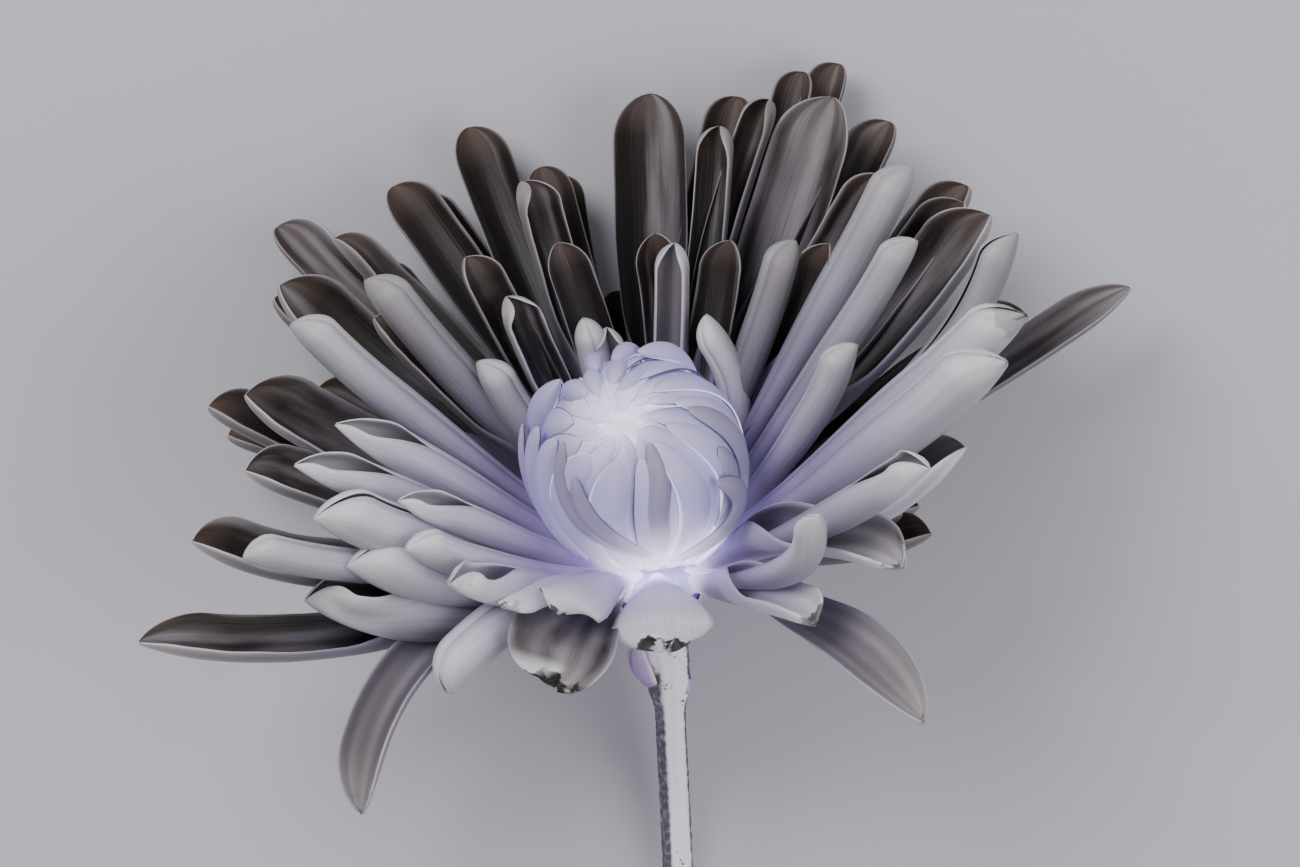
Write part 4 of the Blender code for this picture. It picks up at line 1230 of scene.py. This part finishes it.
draw = Random(3)
cup_bracts = []
for row, (count, low, high, lift) in enumerate(BRACT_ROWS):
    for index in range(count):
        azimuth = 360.0 * (index + 0.5 * (row % 2)) / count + draw.uniform(-JITTER, JITTER)
        cup_bracts.append(cup_bract(azimuth, low, high, lift, draw.random()))
bracts = grow("involucre_bracts", cup_bracts, PETAL_TREE, BRACT_MATERIAL, Wall=0.35, Ruffle=0.05)
finish_piece(bracts, "involucre")

# %% [markdown]
# ## The stem
# The stem leaves the cup straight, bends down to the table and lies along it. Where the neck meets
# it there is a swollen collar, and lower down are the scars of leaves that were taken off. It is a
# path with a changing radius, so a second tree sweeps a ribbed, slightly warty circle along it and
# cuts the end on a slant. The same line as in the part gives the path.

# %% Stem tree and path
STEM_RADIUS = 2.3
STEM_LEVEL = 1.95
COLLAR_AT = -19.5        # y from the crown, as all of these
SCARS_AT = (-64.0, -108.0, -147.0)
STEM_LINE = [CROWN - AXIS * distance for distance in (13.3, 17.3, 22.5)] + [
    UNDER_CROWN + Vector(point) for point in (
        (2.5, -26.5, 11.6),
        (3.1, -38.0, 6.0),
        (3.9, -55.0, 3.0),
        (4.8, -76.0, STEM_LEVEL),
        (5.8, -96.0, STEM_LEVEL),
        (6.9, -118.0, STEM_LEVEL),
        (8.2, -142.0, STEM_LEVEL),
        (9.5, -163.0, STEM_LEVEL),
    )
]
STEM_STEPS = 24          # points between one place of the line and the next
STEM_INPUTS = {
    "Loop Points": 60,
    "Ribs": 11,
    "Rib Height": 0.03,
    "Wart Height": 0.05,
    "Slant": 0.7,
    "Cut From": 0.985,
}


def stem_tree():
    tree, make, given = new_tree("stem", STEM_INPUTS)
    share = make.value("GeometryNodeInputIndex") / given["Loop Points"]
    tube = swept(make, given, {"turn": share})
    turn = read(make, "turn") * (2.0 * math.pi)
    along = read(make, "along")
    sine = make.math("SINE", turn)
    cosine = make.math("COSINE", turn)
    rib = make.math("COSINE", turn * given["Ribs"]) * given["Rib Height"]
    wart = make.noise(make.combine(sine * 4.0, cosine * 4.0, along * 260.0), detail=3.0)
    wart = (wart - 0.45) * (given["Wart Height"] * 4.0)
    inset = read(make, "half") * (rib + wart + 1.0) * -1.0
    slant = given["Slant"] * make.value("ShaderNodeMapRange", along, given["Cut From"], 1.0)
    stem = placed(make, tube, inset * sine, inset * cosine, inset * cosine * slant)
    finish_tree(make, stem, given["Material"])
    return tree


def stem_place(step):
    """Middle of the stem and its direction at a step along the line."""
    last = len(STEM_LINE) - 1
    index = min(int(step), last - 1)
    before, start, end, after = (STEM_LINE[max(0, min(last, index + shift))] for shift in (-1, 0, 1, 2))
    controls = (start, start + (end - before) / 6.0, end - (after - start) / 6.0, end)
    return bezier(controls, step - index)


def stem_swelling(y):
    """How much thicker the stem is than its plain radius, at y from the crown."""
    collar = 0.32 * math.exp(-((y - COLLAR_AT) / 2.2) ** 2)
    neck = 0.45 * smooth(y, COLLAR_AT - 3.0, COLLAR_AT + 6.0)
    scars = sum(0.16 * math.exp(-((y - place) / 2.4) ** 2) for place in SCARS_AT)
    return 1.0 + collar + neck + scars


stem_path = []
last_step = (len(STEM_LINE) - 1) * STEM_STEPS
for step in range(last_step + 1):
    place, ahead = stem_place(step / STEM_STEPS)
    across = ahead.cross(Vector((0.0, 0.0, 1.0))).normalized()
    half = STEM_RADIUS * stem_swelling(place.y - UNDER_CROWN.y)
    stem_path.append(keel_point(place, across, across.cross(ahead), ahead, step / last_step, half, 0.0))
print("stem path:", len(stem_path), "points")

# %% [markdown]
# ## Finish of the stem
# The stem is nearly white with a grey, speckled side, which is painted shade, and dark flecks gather
# in patches. The flecks come from two sizes of noise in Object coordinates, and the painted grey side
# from the number that says how far round the stem a point lies. The stem gives off a little painted light.

# %% Stem material and pieces
# The broad grey side is painted shade down one side of the stem.
PAINTED_SHADE_SIDE = (0.66, 0.07, 0.13)   # middle, half width and soft end, as shares of the way round
GREY_EDGE = (0.28, 0.02, 0.05)


def stripe(make, turn, middle, half, end):
    """1 along a stripe down the stem, and 0 away from it."""
    return 1.0 - make.fade(abs(turn - middle), half, end)


def stem_material(name):
    material, make, shader = new_material(name, 0.65)
    turn, along = attributes(make, "turn along")
    place = make.object_place()
    fleck = make.noise(place, 1100.0, 5.0)
    patch = make.noise(place, 260.0, 4.0)
    # Painted shade down one side of the stem, with the stem's own flecks mixed in.
    side = stripe(make, turn, *PAINTED_SHADE_SIDE) * make.fade(along, 0.14, 0.2)
    grey = make.math("MAXIMUM", side, stripe(make, turn, *GREY_EDGE)) * 0.8 + (fleck - 0.5) * 0.9
    colour = mix(make, make.fade(grey, 0.05, 0.9), tint(236, 232, 243), tint(78, 76, 90))
    spots = make.fade(fleck, 0.58, 0.66) * make.fade(patch, 0.52, 0.64)
    colour = mix(make, spots * 0.85, colour, tint(36, 28, 32))
    make.feed(shader.inputs["Base Color"], colour)
    # Painted glow: the stem gives off a share of its own colour.
    add_painted_glow(make, shader, mix(make, 0.6, colour, tint(0, 0, 0)), 0.5)
    add_bump(make, shader, fleck, 0.5, 0.0003)
    return material


stem = grow("stem_fine", [stem_path], stem_tree(), stem_material("stem"))
for vert in stem.data.vertices:
    vert.co.z = max(vert.co.z, TABLE_TOP * MM)
finish_piece(stem, "stem")

NECK_BRACTS = (          # foot, tip, width, the way its back faces
    ((-1.6, -18.5, 18.3), (-2.6, -12.0, 24.4), 6.0, (-1.0, -0.1, 0.7)),
    ((3.6, -20.4, 16.6), (4.7, -18.0, 18.8), 2.6, (1.0, -0.1, 0.6)),
)
NECK_BRACT_STEPS = 20


def neck_bract(foot, tip, width, face):
    """A short bulging bract on the neck, from its foot up to its tip."""
    start = UNDER_CROWN + Vector(foot)
    way = UNDER_CROWN + Vector(tip) - start
    ahead = way.normalized()
    side = ahead.cross(Vector(face)).normalized()
    out = side.cross(ahead)
    petal = []
    for step in range(NECK_BRACT_STEPS):
        share = step / (NECK_BRACT_STEPS - 1)
        bulge = 0.2 + 1.5 * math.sin(math.pi * share)
        place = start + ahead * (way.length * blend(-0.1, 1.0, share)) + out * bulge
        half = max(0.1, width / 2.0 * math.sin(math.pi * blend(0.22, 0.97, share)))
        petal.append(keel_point(place, side, -out, ahead, share, half, 65.0, chance=0.3))
    return petal


neck_petals = [neck_bract(*values) for values in NECK_BRACTS]
finish_piece(grow("neck_bracts", neck_petals, PETAL_TREE, BRACT_MATERIAL, Ruffle=0.1), "stem")

# %% [markdown]
# ## The table, the sizes and the end
# The table is plain and pale. The fine pieces have to fill the same box as the solids they stand
# for, so the box of each fine piece is printed as it is made.

# %% Table, sizes and finish
TABLE_CORNERS = ((-3, -3, 0), (3, -3, 0), (3, 3, 0), (-3, 3, 0))
TABLE_COLOUR = (0.55, 0.54, 0.6, 1.0)
table_mesh = bpy.data.meshes.new("table")
table_mesh.from_pydata(TABLE_CORNERS, [], [(0, 1, 2, 3)])
table_material, _, table_shader = new_material("table", 0.7)
table_shader.inputs["Base Color"].default_value = TABLE_COLOUR
table_mesh.materials.append(table_material)
floor = put("table", table_mesh)
